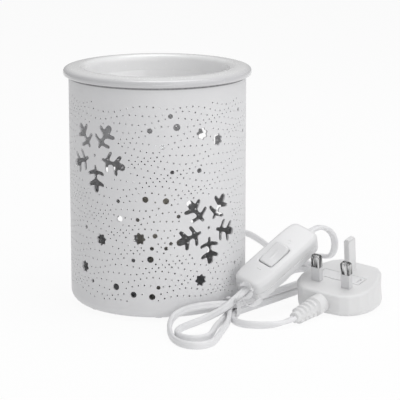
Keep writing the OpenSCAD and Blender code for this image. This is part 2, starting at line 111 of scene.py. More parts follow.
def skin(rings, wrap=False):
    """Points and faces of a skin through rings of equal size: each ring is joined to the next.

    With wrap the last ring joins the first, as on a tyre; without it each end closes on a pole."""
    rings = np.asarray(rings, float)
    count, size = rings.shape[:2]
    points = rings.reshape(-1, 3)
    here = np.arange(count if wrap else count - 1)[:, None] * size
    there = (here + size) % (count * size)
    k = np.arange(size)[None, :]
    after = (k + 1) % size
    quads = np.stack([here + k, here + after, there + after, there + k], axis=-1).reshape(-1, 4)
    fans = []
    if not wrap:
        poles = np.array([rings[0].mean(0), rings[-1].mean(0)])
        points = np.vstack([points, poles])
        first = count * size
        last_ring = (count - 1) * size
        j = np.arange(size)
        follow = (j + 1) % size
        fans.append(np.stack([follow, j, np.full(size, first)], axis=-1))
        fans.append(np.stack([last_ring + j, last_ring + follow, np.full(size, first + 1)], axis=-1))
    return points, [quads, *fans]


def turned(turn):
    """Matrix of a turn about X, then Y, then Z, given in degrees."""
    x, y, z = np.radians(turn)
    about_x = np.array([[1, 0, 0], [0, math.cos(x), -math.sin(x)], [0, math.sin(x), math.cos(x)]])
    about_y = np.array([[math.cos(y), 0, math.sin(y)], [0, 1, 0], [-math.sin(y), 0, math.cos(y)]])
    about_z = np.array([[math.cos(z), -math.sin(z), 0], [math.sin(z), math.cos(z), 0], [0, 0, 1]])
    return about_z @ about_y @ about_x


def oval(length, width, power, count):
    """Outline points of a superellipse: |x/a|^p + |y/b|^p = 1, squarer as p grows."""
    t = np.linspace(0, 2 * math.pi, count, endpoint=False)
    c, s = np.cos(t), np.sin(t)
    x = length / 2 * np.sign(c) * np.abs(c) ** (2 / power)
    y = width / 2 * np.sign(s) * np.abs(s) ** (2 / power)
    return np.stack([x, y], axis=-1)


def flat_ring(outline, z):
    """An outline (n, 2) lifted to height z."""
    return np.column_stack([outline, np.full(len(outline), float(z))])


def through(points, step):
    """An even line along the smooth curve through route points (Catmull-Rom, a cubic per span)."""
    p = np.asarray(points, float)
    p = np.vstack([2 * p[0] - p[1], p, 2 * p[-1] - p[-2]])
    a, b, c, d = p[:-3], p[1:-2], p[2:-1], p[3:]
    t = np.linspace(0, 1, 16, endpoint=False)[:, None, None]
    cubic = 2 * b + (c - a) * t + (2 * a - 5 * b + 4 * c - d) * t**2 + (3 * b - a - 3 * c + d) * t**3
    line = np.vstack([(0.5 * cubic).transpose(1, 0, 2).reshape(-1, p.shape[1]), p[-2:-1]])
    along = np.concatenate([[0], np.cumsum(np.linalg.norm(np.diff(line[:, :3], axis=0), axis=1))])
    at = np.linspace(0, along[-1], max(3, round(along[-1] / step) + 1))
    return np.stack([np.interp(at, along, line[:, k]) for k in range(line.shape[1])], axis=1)


short_tube = skin([flat_ring(oval(2, 2, 2, 8), z) for z in (0, 1)])
print("two rings of 8 points and two poles make", len(short_tube[0]), "points")


# %% [markdown]
# ## Writing a material as an expression
# A node tree is easier to read as arithmetic. `Signal` wraps one socket, so that
# `1 - spots * 0.2` adds the Math nodes by itself. `Finish` holds one material; its `node` method
# is the single way to any other node.


# %% Signal and Finish
class Signal:
    """One output socket of a material; sums and products of signals add Math nodes."""

    def __init__(self, finish, socket):
        self.finish = finish
        self.socket = socket

    def __add__(self, other):
        return self.finish.maths("ADD", self, other)

    def __sub__(self, other):
        return self.finish.maths("SUBTRACT", self, other)

    def __rsub__(self, other):
        return self.finish.maths("SUBTRACT", other, self)

    def __mul__(self, other):
        return self.finish.maths("MULTIPLY", self, other)

    __radd__ = __add__
    __rmul__ = __mul__


class Finish:
    """One material, built round a Principled shader."""

    def __init__(self, name, **constants):
        self.material = bpy.data.materials.new(name)
        self.material.use_nodes = True
        self.tree = self.material.node_tree
        self.shader = self.tree.nodes["Principled BSDF"]
        for socket, value in constants.items():
            self.shader.inputs[socket.replace("_", " ")].default_value = value

    def put(self, socket, value):
        if isinstance(value, Signal):
            self.tree.links.new(value.socket, socket)
        else:
            socket.default_value = value

    def node(self, kind, settings=None, values=None, out=0):
        """Any node: its settings first, then numbers or signals for its sockets."""
        made = self.tree.nodes.new(kind)
        for key, value in (settings or {}).items():
            setattr(made, key, value)
        for key, value in (values or {}).items():
            self.put(made.inputs[key], value)
        return Signal(self, made.outputs[out])

    def maths(self, operation, a, b):
        return self.node("ShaderNodeMath", {"operation": operation}, {0: a, 1: b})

    def set(self, **signals):
        for socket, value in signals.items():
            self.put(self.shader.inputs[socket.replace("_", " ")], value)
        return self.material

    def place(self, stretch=(1, 1, 1), source="Object"):
        """Where a point is: on the object in metres, or on its UV map, stretched per axis."""
        spot = self.node("ShaderNodeTexCoord", out=source)
        return self.node("ShaderNodeMapping", {}, {"Vector": spot, "Scale": stretch})

    def noise(self, place, grain_mm, detail=2.0):
        """Noise from 0 to 1 whose features are about grain_mm across."""
        values = {"Vector": place, "Scale": 1000 / grain_mm, "Detail": detail}
        return self.node("ShaderNodeTexNoise", {}, values, "Fac")

    def mix(self, amount, first, second):
        """A colour between first and second."""
        values = {0: amount, 6: first, 7: second}
        return self.node("ShaderNodeMix", {"data_type": "RGBA"}, values, 2)

    def ramp(self, signal, low, high):
        """0 below low, 1 above high, and a straight slope between."""
        values = {"Value": signal, "From Min": low, "From Max": high}
        return self.node("ShaderNodeMapRange", {}, values)

    def bump(self, height, depth_mm):
        """A Normal from a height from 0 to 1 that stands for depth_mm."""
        values = {"Height": height, "Distance": depth_mm * MM, "Strength": 1.0}
        return self.node("ShaderNodeBump", {}, values)


def tint(red, green=None, blue=None):
    """A screen colour from 0 to 255 as the linear colour that a shader takes."""
    screen = np.array([red, red if green is None else green, red if blue is None else blue]) / 255
    linear = np.where(screen <= 0.04045, screen / 12.92, ((screen + 0.055) / 1.055) ** 2.4)
    return (*linear.tolist(), 1.0)


print("screen grey 128 is", round(tint(128)[0], 3), "in linear light")


# %% [markdown]
# ## Finishes
# Most pieces are white, so what tells them apart is how they shine and how fine their grain is:
# baked powder paint has a soft orange peel, glaze is smooth with a slow ripple, moulded plastic
# has a faint spark texture, and PVC flex has lines drawn along it by the die. Metal has tool
# lines, LINE_RUN times as long as they are wide, because noise read on squeezed coordinates
# comes out as streaks.
# On the pins the streaks run from near black to white, and there they are painted reflections as well
# as tool lines.


# %% Finishes that share one recipe
LINE_RUN = 14


def fine_grained(name, light, dark, rough, grain_mm, depth_mm, **constants):
    """Colour drifts between two tones in patches; a fine grain gives the bump and the sheen."""
    finish = Finish(name, **constants)
    place = finish.place()
    patches = finish.noise(place, 18.0, 3.0)
    grain = finish.noise(place, grain_mm, 2.0)
    colour = finish.mix(patches * 0.7 + grain * 0.3, tint(*dark), tint(*light))
    gloss = rough + (grain - 0.5) * 0.08 + (patches - 0.5) * 0.06
    return finish.set(Base_Color=colour, Roughness=gloss, Normal=finish.bump(grain, depth_mm))


def powder_paint():
    """White powder paint: two sizes of orange peel, grey patches, a painted shadow line under the lip.
    """
    finish = Finish("powder_paint", IOR=1.48)
    place = finish.place()
    peel = finish.noise(place, 1.4, 1.0)
    fine = finish.noise(place, 0.35, 2.0)
    drift = finish.noise(place, 34.0, 2.0)
    rise = finish.node("ShaderNodeSeparateXYZ", {}, {"Vector": place}, "Z")
    # Painted shadow: a dark band on the drum just under the dish's lip, where the lip shades it.
    above = finish.ramp(rise, (z_top - 5.0) * MM, (z_top - 4.6) * MM)
    below = finish.ramp(rise, (z_top - 3.4) * MM, (z_top - 3.2) * MM)
    line = (above - below) * (0.55 + peel * 0.4)
    pale = finish.mix(drift, tint(219, 219, 221), tint(228, 228, 229))
    colour = finish.mix(line, pale, tint(92, 92, 95))
    height = peel * 0.75 + fine * 0.25
    return finish.set(
        Base_Color=colour, Roughness=0.42 + (fine - 0.5) * 0.12, Normal=finish.bump(height, 0.035)
    )


def white_glaze():
    """Fired glaze: glassy, rippled, with matter pinholes; painted shade makes it greyer where it rolls
    over the lip.
    """
    finish = Finish("white_glaze", IOR=1.52, Coat_IOR=1.5, Coat_Roughness=0.05)
    place = finish.place()
    ripple = finish.noise(place, 16.0, 1.0)
    cloud = finish.noise(place, 30.0, 3.0)
    pits = finish.ramp(finish.noise(place, 0.9, 0.0), 0.74, 0.8)
    x = finish.node("ShaderNodeSeparateXYZ", {}, {"Vector": place}, "X")
    y = finish.node("ShaderNodeSeparateXYZ", {}, {"Vector": place}, "Y")
    # Painted shade: the outer lip, which faces sideways and down, is made greyer than the well.
    lip = finish.ramp(x * x + y * y, (dish_r * MM - 0.004) ** 2, (dish_r * MM - 0.0004) ** 2)
    pale = finish.mix(cloud, tint(231, 231, 232), tint(240, 240, 240))
    colour = finish.mix(lip, pale, tint(203, 203, 205))
    gloss = 0.2 + (cloud - 0.5) * 0.06 + pits * 0.2
    normal = finish.bump(ripple * 0.9 - pits * 0.04, 0.12)
    coat = 0.5 - pits * 0.3
    return finish.set(Base_Color=colour, Roughness=gloss, Coat_Weight=coat, Normal=normal)


def drawn_pvc():
    """Soft PVC: fine lines run along the flex, from its own map, where it came through the die."""
    finish = Finish("drawn_pvc", IOR=1.5)
    across = finish.place((60, 2.5, 1), "UV")
    lines = finish.noise(across, 1000.0, 3.0)
    cloud = finish.noise(finish.place(), 12.0, 2.0)
    speck = finish.noise(finish.place(), 0.5, 1.0)
    colour = finish.mix(cloud * 0.6 + lines * 0.4, tint(226, 226, 228), tint(238, 238, 239))
    gloss = 0.36 + (lines - 0.5) * 0.14
    height = lines * 0.6 + speck * 0.4
    return finish.set(Base_Color=colour, Roughness=gloss, Normal=finish.bump(height, 0.03))


def worked_metal(name, light, dark, rough, lines_mm=0.25, stretch=(1, 1, LINE_RUN), streak=0.4):
    """Metal with tool lines, long where stretch is small, as strong as streak, and a stain."""
    finish = Finish(name, Metallic=1.0)
    drawn = finish.noise(finish.place(stretch), lines_mm * LINE_RUN, 3.0)
    stain = finish.noise(finish.place(), 9.0, 3.0)
    shade = stain * (1 - streak) + finish.ramp(drawn, 0.4, 0.6) * streak
    colour = finish.mix(shade, tint(*dark), tint(*light))
    gloss = rough + (drawn - 0.5) * 0.16
    return finish.set(Base_Color=colour, Roughness=gloss, Normal=finish.bump(drawn, 0.012))


def lamp_mirror():
    """Mirror coat that lets some warm light through: thin-film tints in slow patches."""
    finish = Finish("lamp_mirror", Metallic=0.85, IOR=1.5)
    place = finish.place()
    film = finish.noise(place, 8.0, 2.0)
    dust = finish.noise(place, 0.6, 2.0)
    colour = finish.mix(film, tint(186, 190, 206), tint(222, 214, 206))
    gloss = 0.14 + dust * 0.1
    return finish.set(Base_Color=colour, Roughness=gloss, Normal=finish.bump(film, 0.05))


def clear_glass():
    """Clear pressed glass with faint seeds and a wave in its face."""
    finish = Finish("lamp_glass", IOR=1.5, Transmission_Weight=0.85)
    place = finish.place()
    wave = finish.noise(place, 5.0, 1.0)
    seeds = finish.ramp(finish.noise(place, 0.8, 0.0), 0.7, 0.8)
    colour = finish.mix(wave, tint(236, 240, 242), tint(246, 248, 249))
    gloss = 0.05 + seeds * 0.2
    return finish.set(Base_Color=colour, Roughness=gloss, Normal=finish.bump(wave, 0.05))


PAINT = powder_paint()
GLAZE = white_glaze()
PVC = drawn_pvc()
CASE = fine_grained("moulded_case", (230, 230, 231), (221, 221, 222), 0.3, 0.45, 0.012, IOR=1.5)
ROCKER = fine_grained("moulded_rocker", (228, 228, 229), (219, 219, 220), 0.26, 0.5, 0.01, IOR=1.5)
PLUG = fine_grained("moulded_plug", (231, 231, 231), (222, 222, 223), 0.32, 0.6, 0.014, IOR=1.5)
SLEEVE = fine_grained("pin_sleeve", (222, 222, 223), (204, 204, 206), 0.4, 0.4, 0.02, IOR=1.5)
LEAD_COAT = fine_grained("lead_sleeve", (214, 210, 200), (196, 192, 182), 0.6, 0.35, 0.05, IOR=1.45)
TIE_COAT = fine_grained("tie_plastic", (232, 232, 233), (214, 214, 216), 0.35, 0.8, 0.03, IOR=1.5)
CERAMIC = fine_grained("holder_ceramic", (226, 222, 212), (208, 203, 192), 0.55, 0.5, 0.05, IOR=1.5)
RUBBER = fine_grained("foot_rubber", (84, 84, 86), (62, 62, 64), 0.75, 0.6, 0.05, IOR=1.45)
STEEL = worked_metal("fastener_steel", (205, 206, 208), (168, 169, 172), 0.3)
PLATE = worked_metal("plate_steel", (214, 215, 217), (182, 183, 186), 0.36, 0.4, (1, LINE_RUN, 1))
BRASS = worked_metal("contact_brass", (206, 178, 118), (168, 138, 82), 0.34)
# Painted reflections: the pins' colour swings in long streaks from near black to near white, over fine
# tool lines.
NICKEL = worked_metal("pin_nickel", (226, 226, 226), (44, 44, 45), 0.24, 0.11, (1, 1, 0.06), 0.95)
LAMP_CAP = fine_grained("lamp_ceramic", (224, 219, 206), (205, 199, 184), 0.5, 0.4, 0.04, IOR=1.5)
FUSE_BODY = fine_grained("fuse_ceramic", (222, 216, 202), (196, 190, 176), 0.4, 0.4, 0.03, IOR=1.5)
TAIL = fine_grained("flex_inside", (236, 236, 237), (226, 226, 227), 0.4, 0.5, 0.03, IOR=1.5)
MIRROR = lamp_mirror()
LAMP_GLASS = clear_glass()
print(len(bpy.data.materials), "finishes")

# %% [markdown]
# ## Camera
# A long lens a little above the table, turned slightly to the right, gives the flat, calm
# perspective of a catalogue picture.

# %% Camera
camera_data = bpy.data.cameras.new("camera")
camera_data.lens = 172.4
camera = bpy.data.objects.new("camera", camera_data)
camera.location = (0.0, -1.20684, 0.33600)
camera.rotation_euler = (math.radians(77.383), 0.0, math.radians(-1.2865))
bpy.context.scene.collection.objects.link(camera)
bpy.context.scene.camera = camera
print("lens", camera_data.lens, "mm")

# %% [markdown]
# ## The flex
# The flex is a flat twin: two round cores side by side in one white PVC skin, 4.8 mm by 3 mm. A
# flat flex bends only the thin way, so it stands on its edge wherever it curves on the table and
# lies flat where it enters something. Each row of a route is x, y, z in millimetres, and how far
# the wide way leans from upright, in degrees. First comes the run from the drum round the hank
# and up to the switch, then the run from the switch round the hank to the plug.

# %% Routes of the flex
flex_w = 4.8
flex_t = 3.0
flex_step = 1.3
lead_run = [
    (0, 70, 14, 90), (0, 80, 13, 90), (0, 91, 10, 90), (1.5, 105, 5.6, 90), (4, 119, 2.8, 65),
    (9, 137, 2.4, 25), (19, 157, 2.4, 0), (34, 172.5, 2.4, 0), (48, 179, 2.4, 0), (59, 177, 2.4, 0),
    (67, 168, 2.4, 0), (72, 154, 2.4, 0), (76.6, 139, 2.4, 0), (80, 122, 2.4, 0),
    (84, 104, 2.4, 0), (88.5, 88, 3.0, 0), (94.5, 75, 5.6, 0), (101, 64, 7.3, 0),
]
front_leg_high = [
    (106, 53, 7.3, 0), (108, 42, 7.2, 0), (105, 28.5, 7.2, 0), (98, 16, 7.2, 0),
    (87.5, 3.5, 7.2, 0), (77, -9, 7.2, 0), (67, -20.5, 7.2, 0), (58, -31.5, 7.3, 0),
    (51.5, -39.7, 7.5, 0),
]
outer_loop = [
    (46.8, -46.8, 8.4, 0), (42.5, -51.5, 10.6, 6), (37.5, -54.6, 11.2, 12), (31, -56.4, 11.2, 15),
    (23, -58.3, 10.8, 15), (15.5, -60.3, 9.4, 12), (10, -63.6, 7.4, 8), (7.3, -69.5, 5.2, 4),
    (6.4, -78, 3.2, 0), (7.3, -91, 2.4, 0), (9.6, -102, 2.4, 0), (14, -110.4, 2.4, 0),
    (22, -114.6, 2.4, 0), (30, -111, 2.4, 0), (34.2, -102.6, 2.4, 0), (37, -90, 2.4, 0),
    (40.4, -77, 2.5, 0), (43.2, -65, 3.2, 0), (44.6, -54.5, 5.4, 0),
]
back_leg_high = [
    (44.9, -45.2, 7.6, 0), (50.3, -35.8, 7.4, 0), (56.8, -24, 7.2, 0), (62, -12.5, 7.2, 0),
    (68, 1, 7.2, 0), (75, 17.5, 7.2, 0), (82, 33.5, 7.2, 0), (87, 47, 7.4, 0),
]
rise_to_switch = [
    (90.2, 55, 8.6, 25), (93.8, 63, 10.2, 55), (101.3, 67.6, 11.2, 72), (109, 65.2, 11.9, 82),
    (114.2, 58.4, 12.9, 88), (116, 50, 14.8, 90), (118, 42.5, 19.4, 90),
    (118.4, 35.5, 26.6, 90), (116.6, 27, 34.4, 90), (113, 18.5, 40.6, 90), (108.4, 10, 44.8, 90),
    (103.6, 2.4, 46.8, 90), (99.4, -4.0, 46.4, 90), (94.5, -11.2, 43.9, 90),
]
switch_to_tie = [
    (57.2, -41.5, 19.0, 90), (52.6, -45.6, 16.4, 82), (49.6, -49.0, 14.6, 60),
    (46, -52.8, 12.0, 40), (41.6, -55.8, 9.0, 25), (36.4, -57.4, 6.6, 15), (31, -59.8, 4.6, 8),
]
inner_loop = [
    (26, -63.2, 3.2, 0), (19.8, -68.2, 2.4, 0), (14.6, -74.6, 2.4, 0), (11.2, -82.2, 2.4, 0),
    (10.4, -90, 2.4, 0), (13.9, -97.3, 2.4, 0), (21.4, -100.7, 2.4, 0), (28.8, -97.3, 2.4, 0),
    (32.3, -89.6, 2.4, 0), (33.7, -79.6, 2.4, 0), (36.2, -70, 2.4, 0), (39.2, -61, 2.4, 0),
    (42.2, -52, 2.7, 0),
]
low_right_loop = [
    (44.9, -45.2, 2.9, 0), (50.3, -35.8, 2.5, 0), (56.8, -24, 2.4, 0), (62, -12.5, 2.4, 0),
    (68, 1, 2.4, 0), (75, 17.5, 2.4, 0), (82, 33.5, 2.4, 0), (86.6, 45.5, 2.4, 0),
    (89, 55.4, 2.4, 0), (93.2, 63.6, 2.4, 0), (100.6, 67, 2.4, 0), (108, 63.8, 2.4, 0),
    (112, 55.8, 2.4, 0), (112, 46.4, 2.4, 0), (108.8, 37, 2.4, 0), (104.4, 27.3, 2.4, 0),
    (98, 16, 2.4, 0), (87.5, 3.5, 2.4, 0), (77, -9, 2.4, 0), (67, -20.5, 2.4, 0),
    (58, -31.5, 2.5, 0), (51.5, -39.7, 2.8, 0), (47.2, -46.6, 2.9, 0),
]
tie_to_plug = [
    (45.8, -54, 2.6, 0), (46.6, -61.8, 2.4, 0), (51.4, -68.4, 2.4, 0), (59, -71.2, 2.4, 0),
    (67, -71.7, 2.5, 20), (74.4, -71, 2.9, 55), (80, -68.4, 3.9, 90), (84.6, -63.6, 4.9, 90),
    (87.2, -60.3, 5.4, 90),
]
to_switch = lead_run + front_leg_high + outer_loop + back_leg_high + rise_to_switch
to_plug = switch_to_tie + inner_loop + low_right_loop + tie_to_plug
print(len(to_switch), "route points to the switch and", len(to_plug), "on to the plug")

# %% [markdown]
# The skin of the flex is a ring of points carried along its route. The ring is the outline of two
# overlapping circles, so a shallow groove runs down each flat side. At every step the ring stands
# square to the line, and its wide way leans as the route says.


# %% The flex as a skin
def twin_outline(width, thickness, count):
    """Outline of two equal circles side by side: each gives the arc that the other leaves free."""
    r = thickness / 2
    shift = (width - thickness) / 2
    free = math.pi - math.acos(shift / r)
    t = np.linspace(-free, free, count)
    right = np.stack([shift + r * np.cos(t), r * np.sin(t)], axis=-1)[:-1]
    left = np.stack([-shift - r * np.cos(t), -r * np.sin(t)], axis=-1)[:-1]
    return np.vstack([right, left])


def frames_along(line, lean):
    """Directions at each point of a line: along it, and the wide way, which leans from upright."""
    ahead = np.gradient(line, axis=0)
    ahead /= np.linalg.norm(ahead, axis=1)[:, None]
    side = np.cross(ahead, (0.0, 0.0, 1.0))
    side /= np.linalg.norm(side, axis=1)[:, None]
    up = np.cross(side, ahead)
    lean = np.radians(lean)[:, None]
    wide = np.cos(lean) * up + np.sin(lean) * side
    return ahead, wide, np.cross(wide, ahead)


def evened(line, reach):
    """Each point moves to the mean of its neighbours within reach steps, fewer near the ends."""
    total = np.vstack([np.zeros(line.shape[1]), np.cumsum(line, axis=0)])
    at = np.arange(len(line))
    near = np.minimum(reach, np.minimum(at, len(line) - 1 - at))
    return (total[at + near + 1] - total[at - near]) / (2 * near + 1)[:, None]


def flex_piece(name, route, replaces):
    """A piece of flex along a route: ring point = centre + wide way * u + thin way * v."""
    line = evened(evened(through(route, flex_step), 4), 4)
    centres = line[:, :3]
    outline = twin_outline(flex_w, flex_t, 12)
    _, wide, thin = frames_along(centres, line[:, 3])
    u, v = outline[None, :, :1], outline[None, :, 1:]
    points, faces = skin(centres[:, None] + wide[:, None] * u + thin[:, None] * v)
    points[:, 2] = np.maximum(points[:, 2], 0.0)
    piece = make_piece(name, points, faces, PVC, "warmer", replaces, sharp=70)
    size = len(outline)
    across = np.arange(len(points)) % size / size
    along = np.minimum(np.arange(len(points)) // size, len(centres) - 1) * flex_step * MM
    corners = np.zeros(len(piece.data.loops), np.int32)
    piece.data.loops.foreach_get("vertex_index", corners)
    both = np.stack([across[corners], along[corners]], axis=-1)
    piece.data.uv_layers.new(name="UVMap").data.foreach_set("uv", both.astype(np.float32).ravel())
    length = np.linalg.norm(np.diff(centres, axis=0), axis=1).sum()
    print(name, "is", round(length), "mm long")
    return piece, (centres * MM).tolist(), length * MM


first_flex, first_path, first_length = flex_piece(
    "flex_to_switch", to_switch, ["lead_flex", "flex_hank", "switch_flex_top"])
second_flex, second_path, second_length = flex_piece(
    "flex_to_plug", to_plug, ["switch_flex_low", "plug_flex"])

# %% [markdown]
# ## The pierced drum
# The drum is one sheet of steel, 1.2 mm thick, cut all over: four large snowflakes made of leaf
# shapes, small blossoms, round holes, and rows of pin holes. It is easiest to lay the sheet flat,
# with the arc length u across and the height v up, draw every hole there, and let Blender's
# constrained triangulation fill the metal between them. The flat net is then wrapped round
# twice, for the outer and the inner face, and a wall joins the two round each hole.

# %% Outlines of the holes, on the flat sheet
half_leaf = np.array([
    [0.12, 0], [0.16, 0.08], [0.17, 0.17], [0.45, 0.2], [0.8, 0.235], [0.98, 0.28], [1, 0.34],
    [0.9, 0.385], [0.65, 0.365], [0.36, 0.33], [0.2, 0.36], [0.18, 0.44], [0.24, 0.52],
    [0.5, 0.575], [0.8, 0.63], [0.96, 0.69], [0.95, 0.755], [0.8, 0.79], [0.56, 0.76],
    [0.38, 0.735], [0.33, 0.8], [0.33, 0.88], [0.27, 0.95], [0.14, 1]])
leaf_start = 6.0
leaf_len = 17.5
leaf_w = 14.0
flakes = [(-44, 102), (34, 57)]
half_turn = 172
scatter = [
    (8, 129, 3), (12, 122, 4.5), (-5, 120, 3.5), (3, 110, 3.2), (9, 94, 2.6), (27, 94, 3.2),
    (-8, 77, 4), (5, 76, 4), (-26, 75, 2.6), (-25, 64, 4), (-13, 64, 2.6), (13, 66, 2.6),
    (-2, 54, 3.2), (-4, 46, 2.6), (5, 46, 2.6), (-16, 38, 2.6), (-5, 39, 4.2), (8, 49, 2.4),
    (-28, 20, 4.5), (-16, 16, 4), (-4, 15, 4), (0, 21, 2.6), (-47, 21, 2.6), (63, 128, 2.6),
    (72, 113, 2.6), (59, 30, 2.6), (-53, 55, 2.6)]
blossoms = [(-12, 52), (41, 112), (29, 117), (-39, 49), (-55, 29), (28, 24)]
seam_at = 92


def round_off(outline, passes):
    """Cuts each corner of a closed outline at a quarter of its sides, again and again."""
    for _ in range(passes):
        follow = np.roll(outline, -1, axis=0)
        pair = np.stack([outline * 0.75 + follow * 0.25, outline * 0.25 + follow * 0.75], axis=1)
        outline = pair.reshape(-1, 2)
    return outline


def leaf_outline():
    """Half a leaf and its mirror image, rounded; the middle of the leaf is at the origin."""
    half = half_leaf * (leaf_w / 2, leaf_len)
    whole = np.vstack([half, half[::-1] * (-1, 1)])
    return round_off(whole - (0, leaf_len / 2), 2)


def sheet_place(angle, height):
    """Flat place of a point at an angle from the front and a height above the drum's underside."""
    turn = (angle - seam_at) % 360 + seam_at - 360
    return np.array([math.radians(turn) * body_r, height + foot_h])


def circle(centre, diameter, count):
    t = np.linspace(0, 2 * math.pi, count, endpoint=False)
    return centre + np.stack([np.cos(t), np.sin(t)], axis=-1) * diameter / 2


def blossom(centre, start):
    """A round of seven soft petals: radius = 3.55 mm + 0.5 mm * cos(7 t + start)."""
    t = np.linspace(0, 2 * math.pi, 42, endpoint=False)
    radius = 3.55 + 0.5 * np.cos(7 * t + start)
    return centre + np.stack([np.cos(t), np.sin(t)], axis=-1) * radius[:, None]


def snowflake(centre):
    """Five leaves round a middle, a fifth of a turn apart, and a small round in the middle."""
    cuts = [circle(centre, 2.0, 12)]
    for k in range(5):
        way = math.radians(-87 + 72 * k)
        out = np.array([math.cos(way), math.sin(way)])
        across = np.array([out[1], -out[0]])
        leaf = leaf_outline()
        middle = centre + out * (leaf_start + leaf_len / 2)
        cuts.append(middle + leaf[:, :1] * across + leaf[:, 1:] * out)
    return cuts


holes = []
for half in (0, half_turn):
    for angle, height in flakes:
        holes += snowflake(sheet_place(angle + half, height))
    holes += [circle(sheet_place(a + half, h), d, 20) for a, h, d in scatter]
    holes += [blossom(sheet_place(a + half, h), a) for a, h in blossoms]
holes.append(circle(sheet_place(180, 14 - foot_h), 9, 28))
print(len(holes), "cut shapes")

# %% [markdown]
# The pin holes fill what is left, in rows that swell up and down like ripples. A pin hole is left
# out where it would come too near a larger shape, inside a snowflake, or across the seam.

# %% Rows of pin holes
edge_points = np.vstack(holes)
flake_middles = np.array([sheet_place(a + half, h) for a, h in flakes for half in (0, half_turn)])
sheet_left = math.radians(seam_at - 360) * body_r
sheet_right = math.radians(seam_at) * body_r
pin_levels = 33
pin_columns = 88


def far_from(points, others, least):
    """Which points are at least that far from all the others."""
    keep = np.ones(len(points), bool)
    for some in np.array_split(np.arange(len(points)), max(1, len(points) // 200)):
        gap = np.linalg.norm(points[some, None] - others[None], axis=-1)
        keep[some] = gap.min(axis=1) >= least
    return keep


def pin_rows():
    """Points of a skewed grid whose rows rise and fall.

    v = level + 2.1 sin(u / 16 + 0.45 row) + 1.1 sin(u / 5.7 - 1.3 row), and u drifts with v."""
    row, column = np.meshgrid(np.arange(pin_levels), np.arange(pin_columns), indexing="ij")
    u = sheet_left + (column + 0.5 * (row % 2) + 0.3) * (sheet_right - sheet_left) / pin_columns
    v = foot_h + 13 + row * 3.86
    sway = 2.1 * np.sin(u / 16 + 0.45 * row) + 1.1 * np.sin(u / 5.7 - 1.3 * row)
    drift = 0.9 * np.sin(v / 7.0 + u / 31)
    return np.stack([(u + drift).ravel(), (v + sway).ravel()], axis=-1)


pins = pin_rows()
pins = pins[(pins[:, 0] > sheet_left + 1.6) & (pins[:, 0] < sheet_right - 1.6)]
pins = pins[(pins[:, 1] > foot_h + 11) & (pins[:, 1] < foot_h + 136)]
pins = pins[far_from(pins, edge_points, 1.7)]
pins = pins[far_from(pins, flake_middles, leaf_start + leaf_len - 3)]
pin_d = 0.84 + 0.34 * np.sin(pins[:, 0] * 0.37 + pins[:, 1] * 0.23) ** 2
pin_t = np.linspace(0, 2 * math.pi, 8, endpoint=False)
pin_ring = np.stack([np.cos(pin_t), np.sin(pin_t)], axis=-1)
pin_outlines = pins[:, None] + pin_ring[None] * pin_d[:, None, None] / 2
print(len(pins), "pin holes")

# %% [markdown]
# The triangulation gets the outlines as fixed edges, plus a loose grid of points where the metal
# is blank, so that every triangle is small enough to follow the curve.

# %% Triangulate the flat sheet
step_count = 144
level_count = 37
sheet_low = foot_h + corner_r
columns = np.linspace(sheet_left, sheet_right, step_count + 1)
levels = np.linspace(sheet_low, z_top, level_count)
border = np.vstack([
    np.stack([columns, np.full(len(columns), sheet_low)], axis=-1),
    np.stack([np.full(level_count - 2, sheet_right), levels[1:-1]], axis=-1),
    np.stack([columns[::-1], np.full(len(columns), z_top)], axis=-1),
    np.stack([np.full(level_count - 2, sheet_left), levels[-2:0:-1]], axis=-1)])


def blank_points():
    """A staggered grid of points 4.2 by 3.8 mm apart, kept where no hole is near."""
    u, v = np.meshgrid(np.arange(sheet_left + 2.5, sheet_right - 2, 4.2),
                       np.arange(sheet_low + 2.5, z_top - 1, 3.8))
    u = u + (np.arange(len(v))[:, None] % 2) * 2.1
    grid = np.stack([u.ravel(), v.ravel()], axis=-1)
    grid = grid[grid[:, 0] < sheet_right - 1.5]
    return grid[far_from(grid, np.vstack([edge_points, pins]), 2.3)]


def inside(points, outline):
    """Which points lie in an outline: an odd number of its sides pass to their right."""
    a, b = outline, np.roll(outline, -1, axis=0)
    x, y = points[:, :1], points[:, 1:]
    crosses = (a[:, 1] > y) != (b[:, 1] > y)
    rise = np.where(b[:, 1] == a[:, 1], 1, b[:, 1] - a[:, 1])
    reach = (b[:, 0] - a[:, 0]) * (y - a[:, 1]) / rise + a[:, 0]
    return (crosses & (x < reach)).sum(axis=1) % 2 == 1


def triangulate():
    """Points, triangles and loops of the flat sheet, with the triangles in the holes left out."""
    loops = [border, *holes, *pin_outlines]
    starts = np.cumsum([0] + [len(loop) for loop in loops])
    blank = blank_points()
    points = np.vstack([*loops, blank])
    edges = np.vstack([
        np.stack([np.arange(len(loop)), np.roll(np.arange(len(loop)), -1)], axis=-1) + start
        for loop, start in zip(loops, starts)])
    made = delaunay_2d_cdt(points.tolist(), edges.tolist(), [], 0, 1e-7, False)
    points, triangles = np.array(made[0]), np.array(made[2], np.int32)
    middle = points[triangles].mean(axis=1)
    owner = np.full(len(points), -1)
    for number, (loop, start) in enumerate(zip(loops, starts)):
        owner[start:start + len(loop)] = number
    one_loop = (owner[triangles] == owner[triangles][:, :1]).all(axis=1)
    keep = ~(one_loop & (owner[triangles][:, 0] > len(holes)))
    for hole in holes:
        near = np.abs(middle - hole.mean(0)).max(axis=1) < 12
        keep[near] &= ~inside(middle[near], hole)
    loops = [np.arange(len(loop)) + start for loop, start in zip(loops, starts)]
    return points, triangles[keep], loops


flat_points, flat_triangles, flat_loops = triangulate()
print(len(flat_points), "points and", len(flat_triangles), "triangles on the flat sheet")


# %% [markdown]
# Wrapping is one line of trigonometry: angle = u / radius. Below the sheet the steel turns in
# round the bottom edge, as rings of a quarter circle, and its rim runs level under the drum.

# %% Wrap the sheet into the drum
def wrapped(flat, radius):
    """Flat points (u, v) on a cylinder: x = r sin(u / R), y = -r cos(u / R), z = v."""
    angle = flat[:, 0] / body_r
    return np.stack([radius * np.sin(angle), -radius * np.cos(angle), flat[:, 1]], axis=-1)


